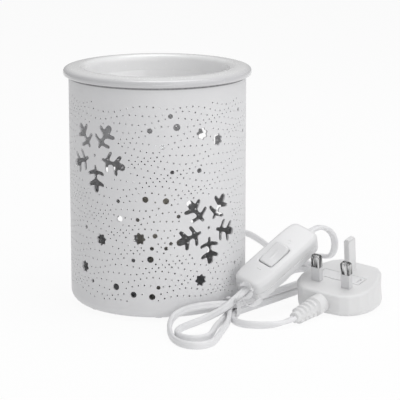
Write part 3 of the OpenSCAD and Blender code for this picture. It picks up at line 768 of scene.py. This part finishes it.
def bottom_edge(radius, way_in):
    """Rings of a quarter circle from the wall down and in, then level to the rim under the drum."""
    t = np.linspace(0, math.pi / 2, 9)[1:]
    r = body_r - corner_r + radius * np.cos(t)
    z = foot_h + corner_r - radius * np.sin(t)
    r = np.append(r, way_in)
    z = np.append(z, z[-1])
    angle = columns[:-1] / body_r
    x = r[:, None] * np.sin(angle)
    y = -r[:, None] * np.cos(angle)
    return np.stack([x, y, np.repeat(z[:, None], step_count, axis=1)], axis=-1)


def drum_mesh():
    """All points and faces of the drum: outer face, inner face, then walls and bottom edge."""
    count = len(flat_points)
    points = [wrapped(flat_points, body_r), wrapped(flat_points, body_r - wall)]
    faces = [flat_triangles, flat_triangles[:, ::-1] + count]
    walls = []
    for loop in flat_loops[1:]:
        follow = np.roll(loop, -1)
        walls.append(np.stack([loop, follow, follow + count, loop + count], axis=-1))
    top = flat_loops[0][step_count + level_count - 1:2 * step_count + level_count]
    walls.append(np.stack([top[1:], top[:-1], top[:-1] + count, top[1:] + count], axis=-1))
    sill = flat_loops[0][:step_count + 1]
    outer = bottom_edge(corner_r, ring_r)
    inner = bottom_edge(corner_r - wall, ring_r)
    start = 2 * count
    for rings, first, flip in ((outer, sill, False), (inner, sill + count, True)):
        size = step_count
        rows = start + np.arange(len(rings) * size).reshape(len(rings), size)
        upper = np.vstack([first[:-1], rows[:-1]])
        here, after = upper, np.roll(upper, -1, axis=1)
        after[0, -1] = first[-1]
        quads = np.stack([here, rows, np.roll(rows, -1, axis=1), after], axis=-1).reshape(-1, 4)
        walls.append(quads[:, ::-1] if flip else quads)
        points.append(rings.reshape(-1, 3))
        start += rings.shape[0] * size
    low_out = 2 * count + (len(outer) - 1) * step_count + np.arange(step_count)
    low_in = low_out + len(inner) * step_count
    walls.append(np.stack([low_out, low_in, np.roll(low_in, -1), np.roll(low_out, -1)], axis=-1))
    return np.vstack(points), faces, walls


def welded(points, faces):
    """The same faces on points of which no two are in one place."""
    _, first, same = np.unique(np.round(points, 4), axis=0, return_index=True, return_inverse=True)
    return points[first], [same.ravel()[f] for f in faces]


drum_points, drum_skins, drum_walls = drum_mesh()
drum_points, drum_faces = welded(drum_points, drum_skins + drum_walls)
drum = make_piece("drum_skin", drum_points, drum_faces, PAINT, "warmer",
                  ["body_shell"])
print("drum skin:", len(drum_points), "points,", sum(len(f) for f in drum_faces), "faces")


def drum_normals(piece):
    """Normals that the curve gives: square to the cylinder on both skins, and each wall's own."""
    mesh = piece.data
    corner_count = len(mesh.loops)
    at = np.zeros(corner_count, np.int32)
    mesh.loops.foreach_get("vertex_index", at)
    flat = np.zeros(len(mesh.polygons) * 3, np.float32)
    mesh.polygons.foreach_get("normal", flat)
    size = np.zeros(len(mesh.polygons), np.int32)
    mesh.polygons.foreach_get("loop_total", size)
    face_normal = np.repeat(flat.reshape(-1, 3), size, axis=0)
    spot = drum_points[at]
    ring = np.hypot(spot[:, 0], spot[:, 1])
    low = np.maximum(foot_h + corner_r - spot[:, 2], 0)
    out = np.maximum(ring - (body_r - corner_r), 0)
    level = ring < body_r - corner_r - 0.01
    rise = np.where(level, 1.0, low)
    flow = np.where(level, 0.0, out)
    curve = np.stack([spot[:, 0] / ring * flow, spot[:, 1] / ring * flow, -rise], axis=-1)
    curve /= np.linalg.norm(curve, axis=1)[:, None]
    side = np.sign((curve * face_normal).sum(axis=1))[:, None]
    agree = np.abs((curve * face_normal).sum(axis=1)) > 0.86
    normal = np.where(agree[:, None], curve * side, face_normal)
    mesh.normals_split_custom_set(normal.tolist())


drum_normals(drum)

# %% [markdown]
# ## The dish
# The dish is thrown as one outline turned about the middle: a flat floor, a rounded foot to the
# wall, a soft crest, and a lip that rolls over the drum's edge. Turning an outline is a skin
# whose rings are circles.


# %% The dish
def arc_points(centre, radius, start, end, count):
    t = np.radians(np.linspace(start, end, count))
    return np.stack([centre[0] + radius * np.cos(t), centre[1] + radius * np.sin(t)], axis=-1)


def spun(outline, count):
    """A closed outline (r, z) turned about the Z axis; points on the axis become poles."""
    t = np.linspace(0, 2 * math.pi, count, endpoint=False)
    r, z = outline[:, :1], outline[:, 1:]
    return np.stack([r * np.cos(t), r * np.sin(t), np.repeat(z, count, axis=1)], axis=-1)


well_r = body_r - 10.7
dish_profile = np.vstack([
    [[4, dish_low[2]], [well_r - 20, dish_low[2]]],
    arc_points((well_r - 9, dish_floor + 6), 8, -90, -8, 12),
    [[well_r + 1.2, z_top - 3], [well_r + 2.2, z_top - 0.6], [well_r + 3.4, z_top],
     [dish_r - 3.2, z_top], [dish_r - 2.2, z_top - 0.4], [dish_r - 1.9, z_top - 1.6],
     [dish_r - 1.7, z_top - 2.7], [dish_r - 1.2, z_top - 3.2], [dish_r - 0.5, z_top - 3.1],
     [dish_r - 0.05, z_top - 2.2], [dish_r, z_top - 1.0], [dish_r - 0.35, z_top + 0.2],
     [dish_r - 1.3, z_top + 1.1],
     [dish_r - 3, z_top + 1.65], [dish_r - 6, z_top + 2.1], [dish_r - 9, z_top + 2.35],
     [dish_r - 11, z_top + 2.3], [dish_r - 12.6, z_top + 1.6], [dish_r - 13.7, z_top + 0.2],
     [well_r + 0.1, z_top - 2.4]],
    arc_points((well_r - 9, dish_floor + 6), 6, 0, -90, 10) + (3, 0),
    [[well_r - 12, dish_floor], [4, dish_floor]]])
dish_line = through(np.column_stack([dish_profile, np.zeros(len(dish_profile))]), 0.8)[:, :2]
dish_line[:, 0] = np.minimum(dish_line[:, 0], dish_r)
dish_points, dish_faces = skin(spun(dish_line, 160))
make_piece("dish_glazed", dish_points, dish_faces, GLAZE, "dish_body", ["dish"], 50)
print("dish:", len(dish_line), "rings, crest at", round(dish_line[:, 1].max(), 2))

# %% [markdown]
# ## The switch on the flex
# The case is two moulded halves that meet at a fine groove. Each half is one skin of rings. The
# cover starts at the rocker's opening, spreads over a gently crowned top, rounds over its edge,
# drops to the groove and closes again underneath. `oval` gives every ring the same number of
# points, so the squarer opening and the rounder outline join without a seam.


# %% Switch case
switch_place = np.array([body_r + 19.2, -26.0, 31.3])
switch_matrix = turned([19, -26.5, 40])
rocker_x = -2.0
case_l = 60.0
case_w = 23.0
case_half = 7.5
top_edge = 2.6
low_edge = 3.0
opening_l = 19.2
opening_w = 11.1


def on_switch(points):
    return points @ switch_matrix.T + switch_place


def case_ring(inset, z):
    """The case's outline, drawn in by inset, at height z: a superellipse of power 7."""
    return flat_ring(oval(case_l - 2 * inset, case_w - 2 * inset, 7, 128), z)


def opening_ring(grow, z):
    """The rocker's opening, spread by grow, at height z: a superellipse of power 8."""
    ring = flat_ring(oval(opening_l + 2 * grow, opening_w + 2 * grow, 8, 128), z)
    return ring + (rocker_x, 0, 0)


def crowned(ring):
    """Top of the case: z = 7.5 - 0.45 (x / 30)^2 - 0.5 (y / 11.5)^2, in millimetres."""
    lifted = ring.copy()
    along, across = ring[:, 0] / (case_l / 2), ring[:, 1] / (case_w / 2)
    lifted[:, 2] = case_half - 0.45 * along**2 - 0.5 * across**2
    return lifted


def cover_rings():
    rings = [opening_ring(0, 1.0), opening_ring(0, 4.5)]
    rings.append(crowned(opening_ring(0, 0)) - (0, 0, 0.7))
    rings.append(crowned(opening_ring(0.12, 0)) - (0, 0, 0.25))
    start = opening_ring(0.5, 0)
    rings.append(crowned(start) - (0, 0, 0.02))
    end = case_ring(top_edge, 0)
    rings += [crowned(start * (1 - s) + end * s) for s in np.linspace(0.08, 1, 12)]
    for angle in np.radians(np.linspace(12, 90, 9)):
        ring = crowned(case_ring(top_edge * (1 - math.sin(angle)), 0))
        rings.append(ring - (0, 0, top_edge * (1 - math.cos(angle))))
    rings += [case_ring(0, 2.2), case_ring(0, 0.55), case_ring(0.08, 0.38), case_ring(0.36, 0.3),
              case_ring(0.4, 0.02), case_ring(4.0, 0.02)]
    rings.append(opening_ring(0.2, 0.4))
    return rings


def base_rings():
    rings = [case_ring(6, 0), case_ring(0.4, 0), case_ring(0.36, -0.1), case_ring(0.08, -0.2),
             case_ring(0, -0.4), case_ring(0, -2.4)]
    for angle in np.radians(np.linspace(0, 90, 9)):
        fall = low_edge * math.sin(angle)
        rings.append(case_ring(low_edge * (1 - math.cos(angle)), low_edge - case_half - fall))
    rings += [case_ring(inset, -case_half) for inset in (5, 7.5, 10)]
    return rings


points, faces = skin(cover_rings()[::-1], wrap=True)
cover = make_piece("switch_cover_shell", on_switch(points), faces, CASE, "warmer",
                   ["switch_cover"])
points, faces = skin(base_rings()[::-1])
base = make_piece("switch_base_shell", on_switch(points), faces, CASE, "warmer",
                  ["switch_base"])
print("case", [len(o.data.vertices) for o in (cover, base)], "points")

# %% [markdown]
# The rocker is a shallow V: its top rises from the middle to both ends, and the whole key leans
# towards the end that is pressed down. A finger feels small raised marks on the cover, a ring
# by one end and a bar by the other.


# %% Rocker and raised marks
rocker_tilt = math.radians(8)
key_l = 18.0
key_w = 10.5


def key_ring(inset, z):
    """The key's outline, drawn in by inset, at height z: a superellipse of power 9."""
    return flat_ring(oval(key_l - 2 * inset, key_w - 2 * inset, 9, 96), z)


def rocker_rings():
    """Rings of the key: height = 0.95 + 0.1 sqrt(x^2 + 1), less what the soft edge takes off."""
    rings = [key_ring(inset, z) for inset, z in ((0.3, -3.4), (0, -2.6), (0, -0.6))]
    soft_edge = ((0, 0.8), (0.1, 0.42), (0.3, 0.18), (0.62, 0.05), (1, 0))
    for inset, drop in (*soft_edge, (1.9, 0), (2.9, 0), (3.9, 0), (4.7, 0)):
        ring = key_ring(inset, 0)
        ring[:, 2] = 0.95 + 0.1 * np.sqrt(ring[:, 0] ** 2 + 1) - drop
        rings.append(ring)
    return rings


def leaned(points):
    """The key's place: leaned about its cross pin, which lies just under the cover's top."""
    c, s = math.cos(rocker_tilt), math.sin(rocker_tilt)
    lean = np.array([[c, 0, -s], [0, 1, 0], [s, 0, c]])
    return points @ lean.T + (rocker_x, 0, 7.4)


def ring_mark(centre, radius, bead):
    """A raised ring, half sunk in the cover: a circle of beads of radius `bead`."""
    t = np.linspace(0, 2 * math.pi, 40, endpoint=False)[:, None]
    k = np.linspace(0, 2 * math.pi, 10, endpoint=False)[None, :]
    reach = radius + bead * np.cos(k)
    x = centre[0] + reach * np.cos(t)
    y = centre[1] + reach * np.sin(t)
    z = np.broadcast_to(centre[2] + bead * 0.8 * np.sin(k), x.shape)
    return skin(np.stack([x, y, z], axis=-1), wrap=True)


def bar_mark(centre, length, width):
    """A raised bar with rounded ends: rings of a long oval, smaller as they rise."""
    levels = ((0, -0.2), (0, 0.12), (0.1, 0.24), (0.24, 0.3))
    return skin([flat_ring(oval(width - d, length - d, 2.6, 32), z) + centre for d, z in levels])


points, faces = skin(rocker_rings())
make_piece("rocker_key", on_switch(leaned(points)), faces, ROCKER, "rocker",
           ["switch_rocker"], 50)
points, faces = ring_mark((rocker_x + 14.6, 0, 7.34), 1.35, 0.26)
faces = [f[:, ::-1] for f in faces]
make_piece("off_ring", on_switch(points), faces, CASE, "warmer")
points, faces = bar_mark((rocker_x - 14.6, 0, 7.3), 3.2, 0.75)
make_piece("on_bar", on_switch(points), faces, CASE, "warmer")

# %% [markdown]
# ## The plug
# The plug lies on its back with its pins in the air. Its skin starts at the bottom of the fuse
# carrier's pocket, comes up to the pin face, spreads to the soft edge, and runs down the sides to
# the table. Every ring is a list of distances from one middle, a distance for each direction,
# which lets a rectangle and the plug's many-sided outline share the same points.


# %% Plug body
plug_place = np.array([body_r + 53.9, -31.2, 17.9])
plug_matrix = turned([11.5, 4, -37.3])
plug_middle = np.array([0.0, 11.4])
face_edge = 1.9
foot_edge = 4.2
pocket_l = 31.6
pocket_w = 10.2
pocket_corner = math.atan2(pocket_w / 2, pocket_l / 2)
near_corner = pocket_corner + np.array([-0.07, -0.03, -0.012, 0, 0.012, 0.03, 0.07])
ways = np.concatenate([np.linspace(0, 2 * math.pi, 192, endpoint=False), near_corner,
                       math.pi - near_corner, math.pi + near_corner, 2 * math.pi - near_corner])
ways = np.sort(ways)
plug_corners = np.array([
    (-13, -14), (13, -14), (19, -11), (23.5, -5), (25.5, 3), (25.5, 10), (22.5, 22), (18.5, 30),
    (13, 34.5), (-13, 34.5), (-18.5, 30), (-22.5, 22), (-25.5, 10), (-25.5, 3), (-23.5, -5),
    (-19, -11)])


def on_plug(points):
    return points @ plug_matrix.T + plug_place


def by_direction(outline, middle):
    """An outline as one point in each of the ways from a middle."""
    spoke = outline - middle
    angle = np.arctan2(spoke[:, 1], spoke[:, 0]) % (2 * math.pi)
    order = np.argsort(angle)
    reach = np.interp(ways, angle[order], np.hypot(*spoke[order].T), period=2 * math.pi)
    return middle + np.stack([np.cos(ways), np.sin(ways)], axis=-1) * reach[:, None]


def drawn_in(outline, inset):
    """An outline moved inwards, square to itself, by inset."""
    along = np.roll(outline, -1, axis=0) - np.roll(outline, 1, axis=0)
    along /= np.linalg.norm(along, axis=1)[:, None]
    return outline + np.stack([-along[:, 1], along[:, 0]], axis=-1) * inset


def table_level(outline):
    """Height, in the plug's own frame, of the table under each point of an outline."""
    row = plug_matrix[2]
    return -(plug_place[2] + outline @ row[:2]) / row[2]


def pocket_ring(grow, z):
    """A sharp-cornered pocket: reach = (|cos / a|^24 + |sin / b|^24)^(-1/24) in each direction."""
    a, b = pocket_l / 2 + grow, pocket_w / 2 + grow
    spoke = np.stack([np.cos(ways), np.sin(ways)], axis=-1)
    reach = (np.abs(spoke[:, 0] / a) ** 24 + np.abs(spoke[:, 1] / b) ** 24) ** (-1 / 24)
    return flat_ring(plug_middle + spoke * reach[:, None], z)


dense = plug_corners[:, None] + (np.roll(plug_corners, -1, axis=0) - plug_corners)[:, None] \
    * np.linspace(0, 1, 4, endpoint=False)[None, :, None]
plug_edge = by_direction(round_off(dense.reshape(-1, 2), 4), plug_middle)


def plug_rings():
    rings = [pocket_ring(-0.4, -10.3), pocket_ring(0, -10.0), pocket_ring(0, -0.5),
             pocket_ring(0.1, -0.16), pocket_ring(0.4, 0)]
    start, end = pocket_ring(0.4, 0), flat_ring(drawn_in(plug_edge, face_edge), 0)
    rings += [start * (1 - s) + end * s for s in np.linspace(0.12, 1, 9)]
    for angle in np.radians(np.linspace(10, 90, 9)):
        inset = face_edge * (1 - math.sin(angle))
        rings.append(flat_ring(drawn_in(plug_edge, inset), -face_edge * (1 - math.cos(angle))))
    foot = table_level(plug_edge)
    for s in np.linspace(0.12, 1, 7):
        side = drawn_in(plug_edge, 0.35 * math.sin(math.pi * s) ** 2)
        rings.append(np.column_stack([side, (foot + foot_edge + face_edge) * s - face_edge]))
    for angle in np.radians(np.linspace(12, 90, 8)):
        low = drawn_in(plug_edge, foot_edge * (1 - math.cos(angle)))
        rings.append(np.column_stack([low, table_level(low) + foot_edge * (1 - math.sin(angle))]))
    for inset in (6, 9):
        low = drawn_in(plug_edge, inset)
        rings.append(np.column_stack([low, table_level(low)]))
    return rings


points, faces = skin(plug_rings()[::-1])
points = on_plug(points)
points[:, 2] = np.maximum(points[:, 2], 0.0)
make_piece("plug_shell", points, faces, PLUG, "warmer", ["plug_body"], 40)
print("plug:", len(points), "points, lowest", round(points[:, 2].min(), 3))

# %% [markdown]
# The strain relief and the grommet are the same idea: a taper with ribs, cut by slots so that it
# bends with the flex. `ribbed` makes both from one rule for the radius.


# %% Strain relief and grommet
def ribbed(length, root, tip, ribs, rib_l, rib_h, slots):
    """A ribbed taper along +Z: radius = taper + rib height * rib window * slot window."""
    step = 0.3
    z = np.arange(0, length + step / 2, step)
    t = np.linspace(0, 2 * math.pi, 64, endpoint=False)
    taper = root + (tip - root) * z / length
    windows = [np.clip(1.6 - np.abs(z - at) / (rib_l / 2) * 1.6 + 0.35, 0, 1) for at in ribs]
    window = np.max(windows, axis=0)
    window = window**2 * (3 - 2 * window)
    gap = np.clip((np.abs(np.cos(t)) - 0.86) / 0.06, 0, 1) * slots
    radius = taper[:, None] + rib_h(z)[:, None] * window[:, None] * (1 - gap[None, :])
    radius[0] -= 0.3
    radius[-1] -= 0.35
    x = radius * np.cos(t)
    y = radius * np.sin(t)
    return np.stack([x, y, np.repeat(z[:, None], 64, axis=1)], axis=-1)


def relief_rings():
    """The collar by the plug is one broad rib; four narrower ribs follow, each a little lower."""
    rings = ribbed(30, 4.5, 3.5, [12, 16.4, 20.8, 25.2], 2.9, lambda z: 2.0 - 0.02 * z, 1.0)
    z = rings[:, 0, 2]
    collar = np.clip((9.2 - z) / 1.1, 0, 1)
    collar = collar**2 * (3 - 2 * collar)
    size = np.hypot(rings[..., 0], rings[..., 1])
    wish = np.maximum(size, (6.35 * collar + size.mean(axis=1) * (1 - collar))[:, None])
    wish = np.where(collar[:, None] > 0, wish, size)
    rings[..., 0] *= wish / size
    rings[..., 1] *= wish / size
    return rings


points, faces = skin(relief_rings())
points = on_plug(points @ turned([84, 0, 0]).T + (0, -14, -7.5))
relief = make_piece("relief_sleeve", points, faces, PLUG, "warmer",
                    ["plug_relief"], 60)
grommet_rings = ribbed(15.5, 4.4, 3.3, [3.7, 6.7, 9.7, 12.7], 1.9, lambda z: 0.75 - 0.02 * z, 0.6)
flange = [(0.4, 4.4), (2, 4.45), (2, 5.5), (4, 5.5), (4, 4.45), (6, 4.45), (6.1, 6.3), (6.5, 6.6),
          (7.9, 6.6), (8.3, 6.3), (8.45, 5.4)]
turn = np.linspace(0, 2 * math.pi, 64, endpoint=False)
neck = [np.column_stack([r * np.cos(turn), r * np.sin(turn), np.full(64, z)]) for z, r in flange]
points, faces = skin(np.vstack([neck, grommet_rings[2:] + (0, 0, 8)]))
points = points @ turned([-90, 0, 0]).T + (0, body_r - 6, 14)
grommet = make_piece("grommet_sleeve", points, faces, CASE, "warmer",
                     ["flex_grommet"], 40)
print("relief and grommet:", len(relief.data.vertices), len(grommet.data.vertices), "points")

# %% [markdown]
# ## The twist tie
# A plastic-coated wire tie holds the waist of the hank. It is a flat band round the bundle, and
# its two ends are wound round each other and then bent apart. Both are an outline carried along
# a line, like the flex itself.


# %% Twist tie
def carried(line, outline, lean):
    """An outline (n, 2) carried along a line; its first axis leans from upright by lean degrees."""
    _, wide, thin = frames_along(line, lean)
    u, v = outline[None, :, :1], outline[None, :, 1:]
    return skin(line[:, None] + wide[:, None] * u + thin[:, None] * v)


def band_rings():
    """A band round the bundle: a rounded square of height 12, with a small crumple in its width."""
    t = np.linspace(0, 2 * math.pi, 96, endpoint=False)
    loop = oval(11.4, 12.4, 3.6, 96)
    follow = np.roll(loop, -1, axis=0) - np.roll(loop, 1, axis=0)
    follow /= np.linalg.norm(follow, axis=1)[:, None]
    outward = np.stack([follow[:, 1], -follow[:, 0]], axis=-1)
    section = oval(0.55, 1, 3.0, 16)
    width = 3.8 + 0.45 * np.sin(3 * t + 0.4) + 0.25 * np.sin(8 * t)
    ripple = 0.12 * np.sin(11 * t) + 0.08 * np.sin(17 * t + 1)
    out = section[None, :, 0] + ripple[:, None]
    x = loop[:, :1] + outward[:, :1] * out
    z = 6.75 + loop[:, 1:] + outward[:, 1:] * out
    y = section[None, :, 1] * width[:, None] + 0.3 * np.sin(2 * t)[:, None]
    return np.stack([x, y, z], axis=-1)


def tie_end(phase, route):
    """One end: it winds twice round the other along a short line, then follows its own route."""
    shared = through([(47, -52, 11.5), (50, -56, 13.5), (52.5, -59, 15.5)], 0.3)
    ahead = shared[-1] - shared[0]
    ahead /= np.linalg.norm(ahead)
    side = np.cross(ahead, (0, 0, 1.0))
    side /= np.linalg.norm(side)
    top = np.cross(side, ahead)
    angle = phase + np.linspace(0, 4 * math.pi, len(shared))[:, None]
    wound = shared + 0.75 * (np.cos(angle) * side + np.sin(angle) * top)
    return through(np.vstack([wound[::4], route]), 0.35)


def on_tie(points):
    return points @ turned([0, 0, -40]).T + (46, -46, 0)


points, faces = skin(band_rings(), wrap=True)
make_piece("tie_band", on_tie(points), faces, TIE_COAT, "warmer", ["twist_tie"], 60)
end_pieces = []
long_end = [(55.5, -61, 17.5), (57.5, -62, 21), (57, -61.5, 24.5), (54, -60, 26), (51, -59, 24.5)]
short_end = [(53.5, -61.5, 13.5), (57, -62.5, 12.5), (61, -62, 13.8), (64, -61, 16.5)]
for name, phase, route in (("tie_end_a", 0.0, long_end), ("tie_end_b", math.pi, short_end)):
    line = tie_end(phase, route)
    twist = 90 + 70 * np.sin(np.linspace(0, 9, len(line)))
    points, faces = carried(line, oval(3.2, 0.7, 3.0, 14), twist)
    end_pieces.append(make_piece(name, points, faces, TIE_COAT, "warmer", sharp=70))
print("tie band and", len(end_pieces), "ends")

# %% [markdown]
# ## Pieces that keep their CAD shape
# Pins, fuse, screws, the lamp and what lies under it keep the solid's own shape. Each gets a copy
# whose points are merged, so that a Bevel modifier can break its edges the way a real moulding or
# pressing does, and a finish of its own.


# %% Softened copies
def softened(node, finish, body, slot, edge_mm, segments=2):
    """A copy of a CAD node with its points merged and its edges bevelled by edge_mm."""
    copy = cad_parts[node].data.copy()
    work = bmesh.new()
    work.from_mesh(copy)
    bmesh.ops.remove_doubles(work, verts=work.verts, dist=2e-6)
    bmesh.ops.dissolve_limit(work, angle_limit=math.radians(1), verts=work.verts, edges=work.edges)
    bmesh.ops.recalc_face_normals(work, faces=work.faces)
    work.to_mesh(copy)
    work.free()
    copy.materials.clear()
    copy.materials.append(finish)
    copy.polygons.foreach_set("use_smooth", np.ones(len(copy.polygons), bool))
    copy.set_sharp_from_angle(angle=math.radians(32))
    piece = bpy.data.objects.new(node + "_soft", copy)
    bpy.context.scene.collection.objects.link(piece)
    bevel = piece.modifiers.new("edge", "BEVEL")
    bevel.width = edge_mm * MM
    bevel.segments = segments
    bevel.limit_method = "ANGLE"
    bevel.angle_limit = math.radians(40)
    bevel.use_clamp_overlap = True
    bevel.harden_normals = True
    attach(piece, body)
    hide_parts(node)
    return piece


kept_shapes = (
    ("plug_blades", NICKEL, "warmer", "contact_brass", 0.35, 3),
    ("blade_sleeves", SLEEVE, "warmer", "sleeve_plastic", 0.2),
    ("earth_pin", PLUG, "warmer", "plug_plastic", 0.4, 3),
    ("fuse_carrier", CASE, "fuse_drawer", "case_plastic", 0.3),
    ("fuse", FUSE_BODY, "fuse_drawer", "fuse_ceramic", 0.3),
    ("fuse_clips", BRASS, "warmer", "contact_brass", 0.08),
    ("base_plate", PLATE, "warmer", "plate_steel", 0.2),
    ("rubber_feet", RUBBER, "warmer", "foot_rubber", 0.35),
    ("base_screws", STEEL, "warmer", "fastener_steel", 0.2),
    ("base_nuts", STEEL, "warmer", "fastener_steel", 0.15),
    ("holder_bracket", PLATE, "warmer", "plate_steel", 0.25),
    ("bracket_screws", STEEL, "warmer", "fastener_steel", 0.2),
    ("lamp_holder", CERAMIC, "warmer", "holder_ceramic", 0.5),
    ("holder_contacts", BRASS, "warmer", "contact_brass", 0.15),
    ("terminal_block", CERAMIC, "warmer", "holder_ceramic", 0.3),
    ("terminal_screws", STEEL, "warmer", "fastener_steel", 0.15),
    ("lamp_leads", LEAD_COAT, "warmer", "lead_sleeve", 0.2),
    ("flex_clamp", CASE, "warmer", "case_plastic", 0.4),
    ("clamp_screw", STEEL, "warmer", "fastener_steel", 0.2),
    ("flex_tail", TAIL, "warmer", "flex_pvc", 0.1),
    ("lamp_cap", LAMP_CAP, "lamp", "lamp_ceramic", 0.5),
    ("lamp_pins", NICKEL, "lamp", "contact_brass", 0.25),
    ("lamp_capsule", LAMP_GLASS, "lamp", "lamp_glass", 0.3),
    ("switch_contacts", BRASS, "warmer", "contact_brass", 0.15),
    ("switch_screws", STEEL, "warmer", "fastener_steel", 0.2),
    ("switch_tails", TAIL, "warmer", "flex_pvc", 0.1),
)
for row in kept_shapes:
    softened(*row)

# %% [markdown]
# The lamp's bowl and front glass are turned shapes with a texture pressed into them: the mirror
# has small facets in rings, and the glass low waves in rings, which spread the light.


# %% Lamp bowl and front glass
def faceted_bowl():
    """Bowl: radius = 9.5 + (mouth - 9.5) s^0.6 at the share s of its depth, less the dimples."""
    low, high = span("lamp_reflector")
    depth = high[2] - low[2]
    mouth = high[0]
    t = np.linspace(0, 2 * math.pi, 144, endpoint=False)
    s = np.linspace(0, 1, 61)
    radius = 9.5 + (mouth - 9.5) * s**0.6
    dimple = 0.18 * np.abs(np.sin(9 * math.pi * s))[:, None] * np.abs(np.sin(18 * t))[None, :]
    outer = radius[:, None] - 0.02 - dimple * 0.6
    inner = radius[::-1, None] - 1.4 - dimple[::-1] * 0.4
    z = low[2] + depth * np.concatenate([s, s[::-1]])
    r = np.vstack([outer, inner])
    rings = np.stack([r * np.cos(t), r * np.sin(t), np.repeat(z[:, None], 144, axis=1)], axis=-1)
    return skin(rings, wrap=True)


def front_glass():
    """Glass: a disc with a rolled edge; its face rises and falls by 0.14 cos(2.1 r) mm."""
    low, high = span("lamp_lens")
    edge = high[0]
    levels = [(edge - 1.2, low[2]), (edge - 0.3, low[2] + 0.15), (edge, low[2] + 0.7),
              (edge, high[2] - 0.7), (edge - 0.3, high[2] - 0.2), (edge - 1.2, high[2] - 0.16)]
    face = np.arange(edge - 2, 1.0, -0.4)
    levels += [(r, high[2] - 0.16 - 0.14 * math.cos(r * 2.1)) for r in face]
    t = np.linspace(0, 2 * math.pi, 96, endpoint=False)
    rings = [np.column_stack([r * np.cos(t), r * np.sin(t), np.full(96, z)]) for r, z in levels]
    return skin(rings)


points, faces = faceted_bowl()
bowl = make_piece("lamp_bowl", points, faces, MIRROR, "lamp", ["lamp_reflector"], 25)
points, faces = front_glass()
glass = make_piece("lamp_glass", points, faces, LAMP_GLASS, "lamp", ["lamp_lens"], 60)
print("lamp bowl and glass:", len(bowl.data.vertices), len(glass.data.vertices), "points")

# %% [markdown]
# It needs this to judge the flex as a soft thing.

print("flex in all:", round((first_length + second_length) / MM), "mm")

# %% [markdown]
# ## The studio
# A white floor under a bright even sky keeps the background white, and one broad lamp from the
# right gives the drum its slow change from grey on the left to near white on the right. A softer
# lamp hangs above, and a low one in front lifts the shade behind the switch. The floor
# answers the camera with light of its own, so that it stays white and still takes a soft shadow. A
# faint point of light inside the drum stands for the light that leaks in through real steel holes.


# %% Floor
def backdrop():
    """A white ground: camera and mirrors mostly see it glow, other light mostly a pale matt."""
    finish = Finish("studio_floor", Roughness=0.9, Specular_IOR_Level=0.1)
    grain = finish.noise(finish.place(), 6.0, 2.0)
    finish.set(Base_Color=finish.mix(grain, tint(243), tint(247)))
    glow = finish.node("ShaderNodeEmission", {}, {"Color": (1, 1, 1, 1), "Strength": 1.0})
    camera_ray = finish.node("ShaderNodeLightPath", out="Is Camera Ray")
    glossy_ray = finish.node("ShaderNodeLightPath", out="Is Glossy Ray")
    seen = finish.maths("MAXIMUM", camera_ray, glossy_ray) * 0.66 + 0.26
    shader = Signal(finish, finish.shader.outputs[0])
    both = finish.node("ShaderNodeMixShader", {}, {0: seen, 1: shader, 2: glow})
    finish.tree.links.new(both.socket, finish.tree.nodes["Material Output"].inputs["Surface"])
    return finish.material


floor_mesh = bpy.data.meshes.new("floor")
floor_mesh.from_pydata([(-3, -3, 0), (3, -3, 0), (3, 3, 0), (-3, 3, 0)], [], [(0, 1, 2, 3)])
floor = bpy.data.objects.new("floor", floor_mesh)
bpy.context.scene.collection.objects.link(floor)
floor_mesh.materials.append(backdrop())
print("floor", round(floor.dimensions.x, 1), "m wide")

# %% [markdown]
# The world is white for the camera and dimmer for everything else, so that pale surfaces keep
# their shading.

# %% World and lamps
world = bpy.data.worlds.new("studio")
bpy.context.scene.world = world
world.use_nodes = True
background = world.node_tree.nodes["Background"]
background.inputs["Color"].default_value = (1, 1, 1, 1)
sky_level = 0.44
path = world.node_tree.nodes.new("ShaderNodeLightPath")
bright = world.node_tree.nodes.new("ShaderNodeMath")
bright.operation = "MULTIPLY_ADD"
bright.inputs[1].default_value = 1 - sky_level
bright.inputs[2].default_value = sky_level
world.node_tree.links.new(path.outputs["Is Camera Ray"], bright.inputs[0])
world.node_tree.links.new(bright.outputs[0], background.inputs["Strength"])


def soft_lamp(name, place, aim, width, height, power):
    """A rectangular area lamp at place that faces aim."""
    lamp_data = bpy.data.lights.new(name, "AREA")
    lamp_data.shape = "RECTANGLE"
    lamp_data.size = width
    lamp_data.size_y = height
    lamp_data.energy = power
    lamp = bpy.data.objects.new(name, lamp_data)
    lamp.location = place
    lamp.rotation_euler = (Vector(place) - Vector(aim)).to_track_quat("Z", "Y").to_euler()
    bpy.context.scene.collection.objects.link(lamp)
    return lamp


soft_lamp("key", (1.05, -0.8, 0.95), (0.02, 0, 0.08), 1.8, 1.5, 8.2)
soft_lamp("top", (0.1, 0.1, 1.3), (0.03, 0, 0.1), 0.9, 0.9, 6.8)
soft_lamp("fill", (0.3, -1.4, 0.2), (0.05, 0, 0.04), 0.9, 0.3, 2.0)
glimmer = bpy.data.objects.new("glimmer", bpy.data.lights.new("glimmer", "POINT"))
glimmer.data.energy = 0.014
glimmer.data.shadow_soft_size = 0.012
glimmer.location = (0, 0, 0.119)
bpy.context.scene.collection.objects.link(glimmer)
bpy.context.scene.view_settings.view_transform = "Standard"
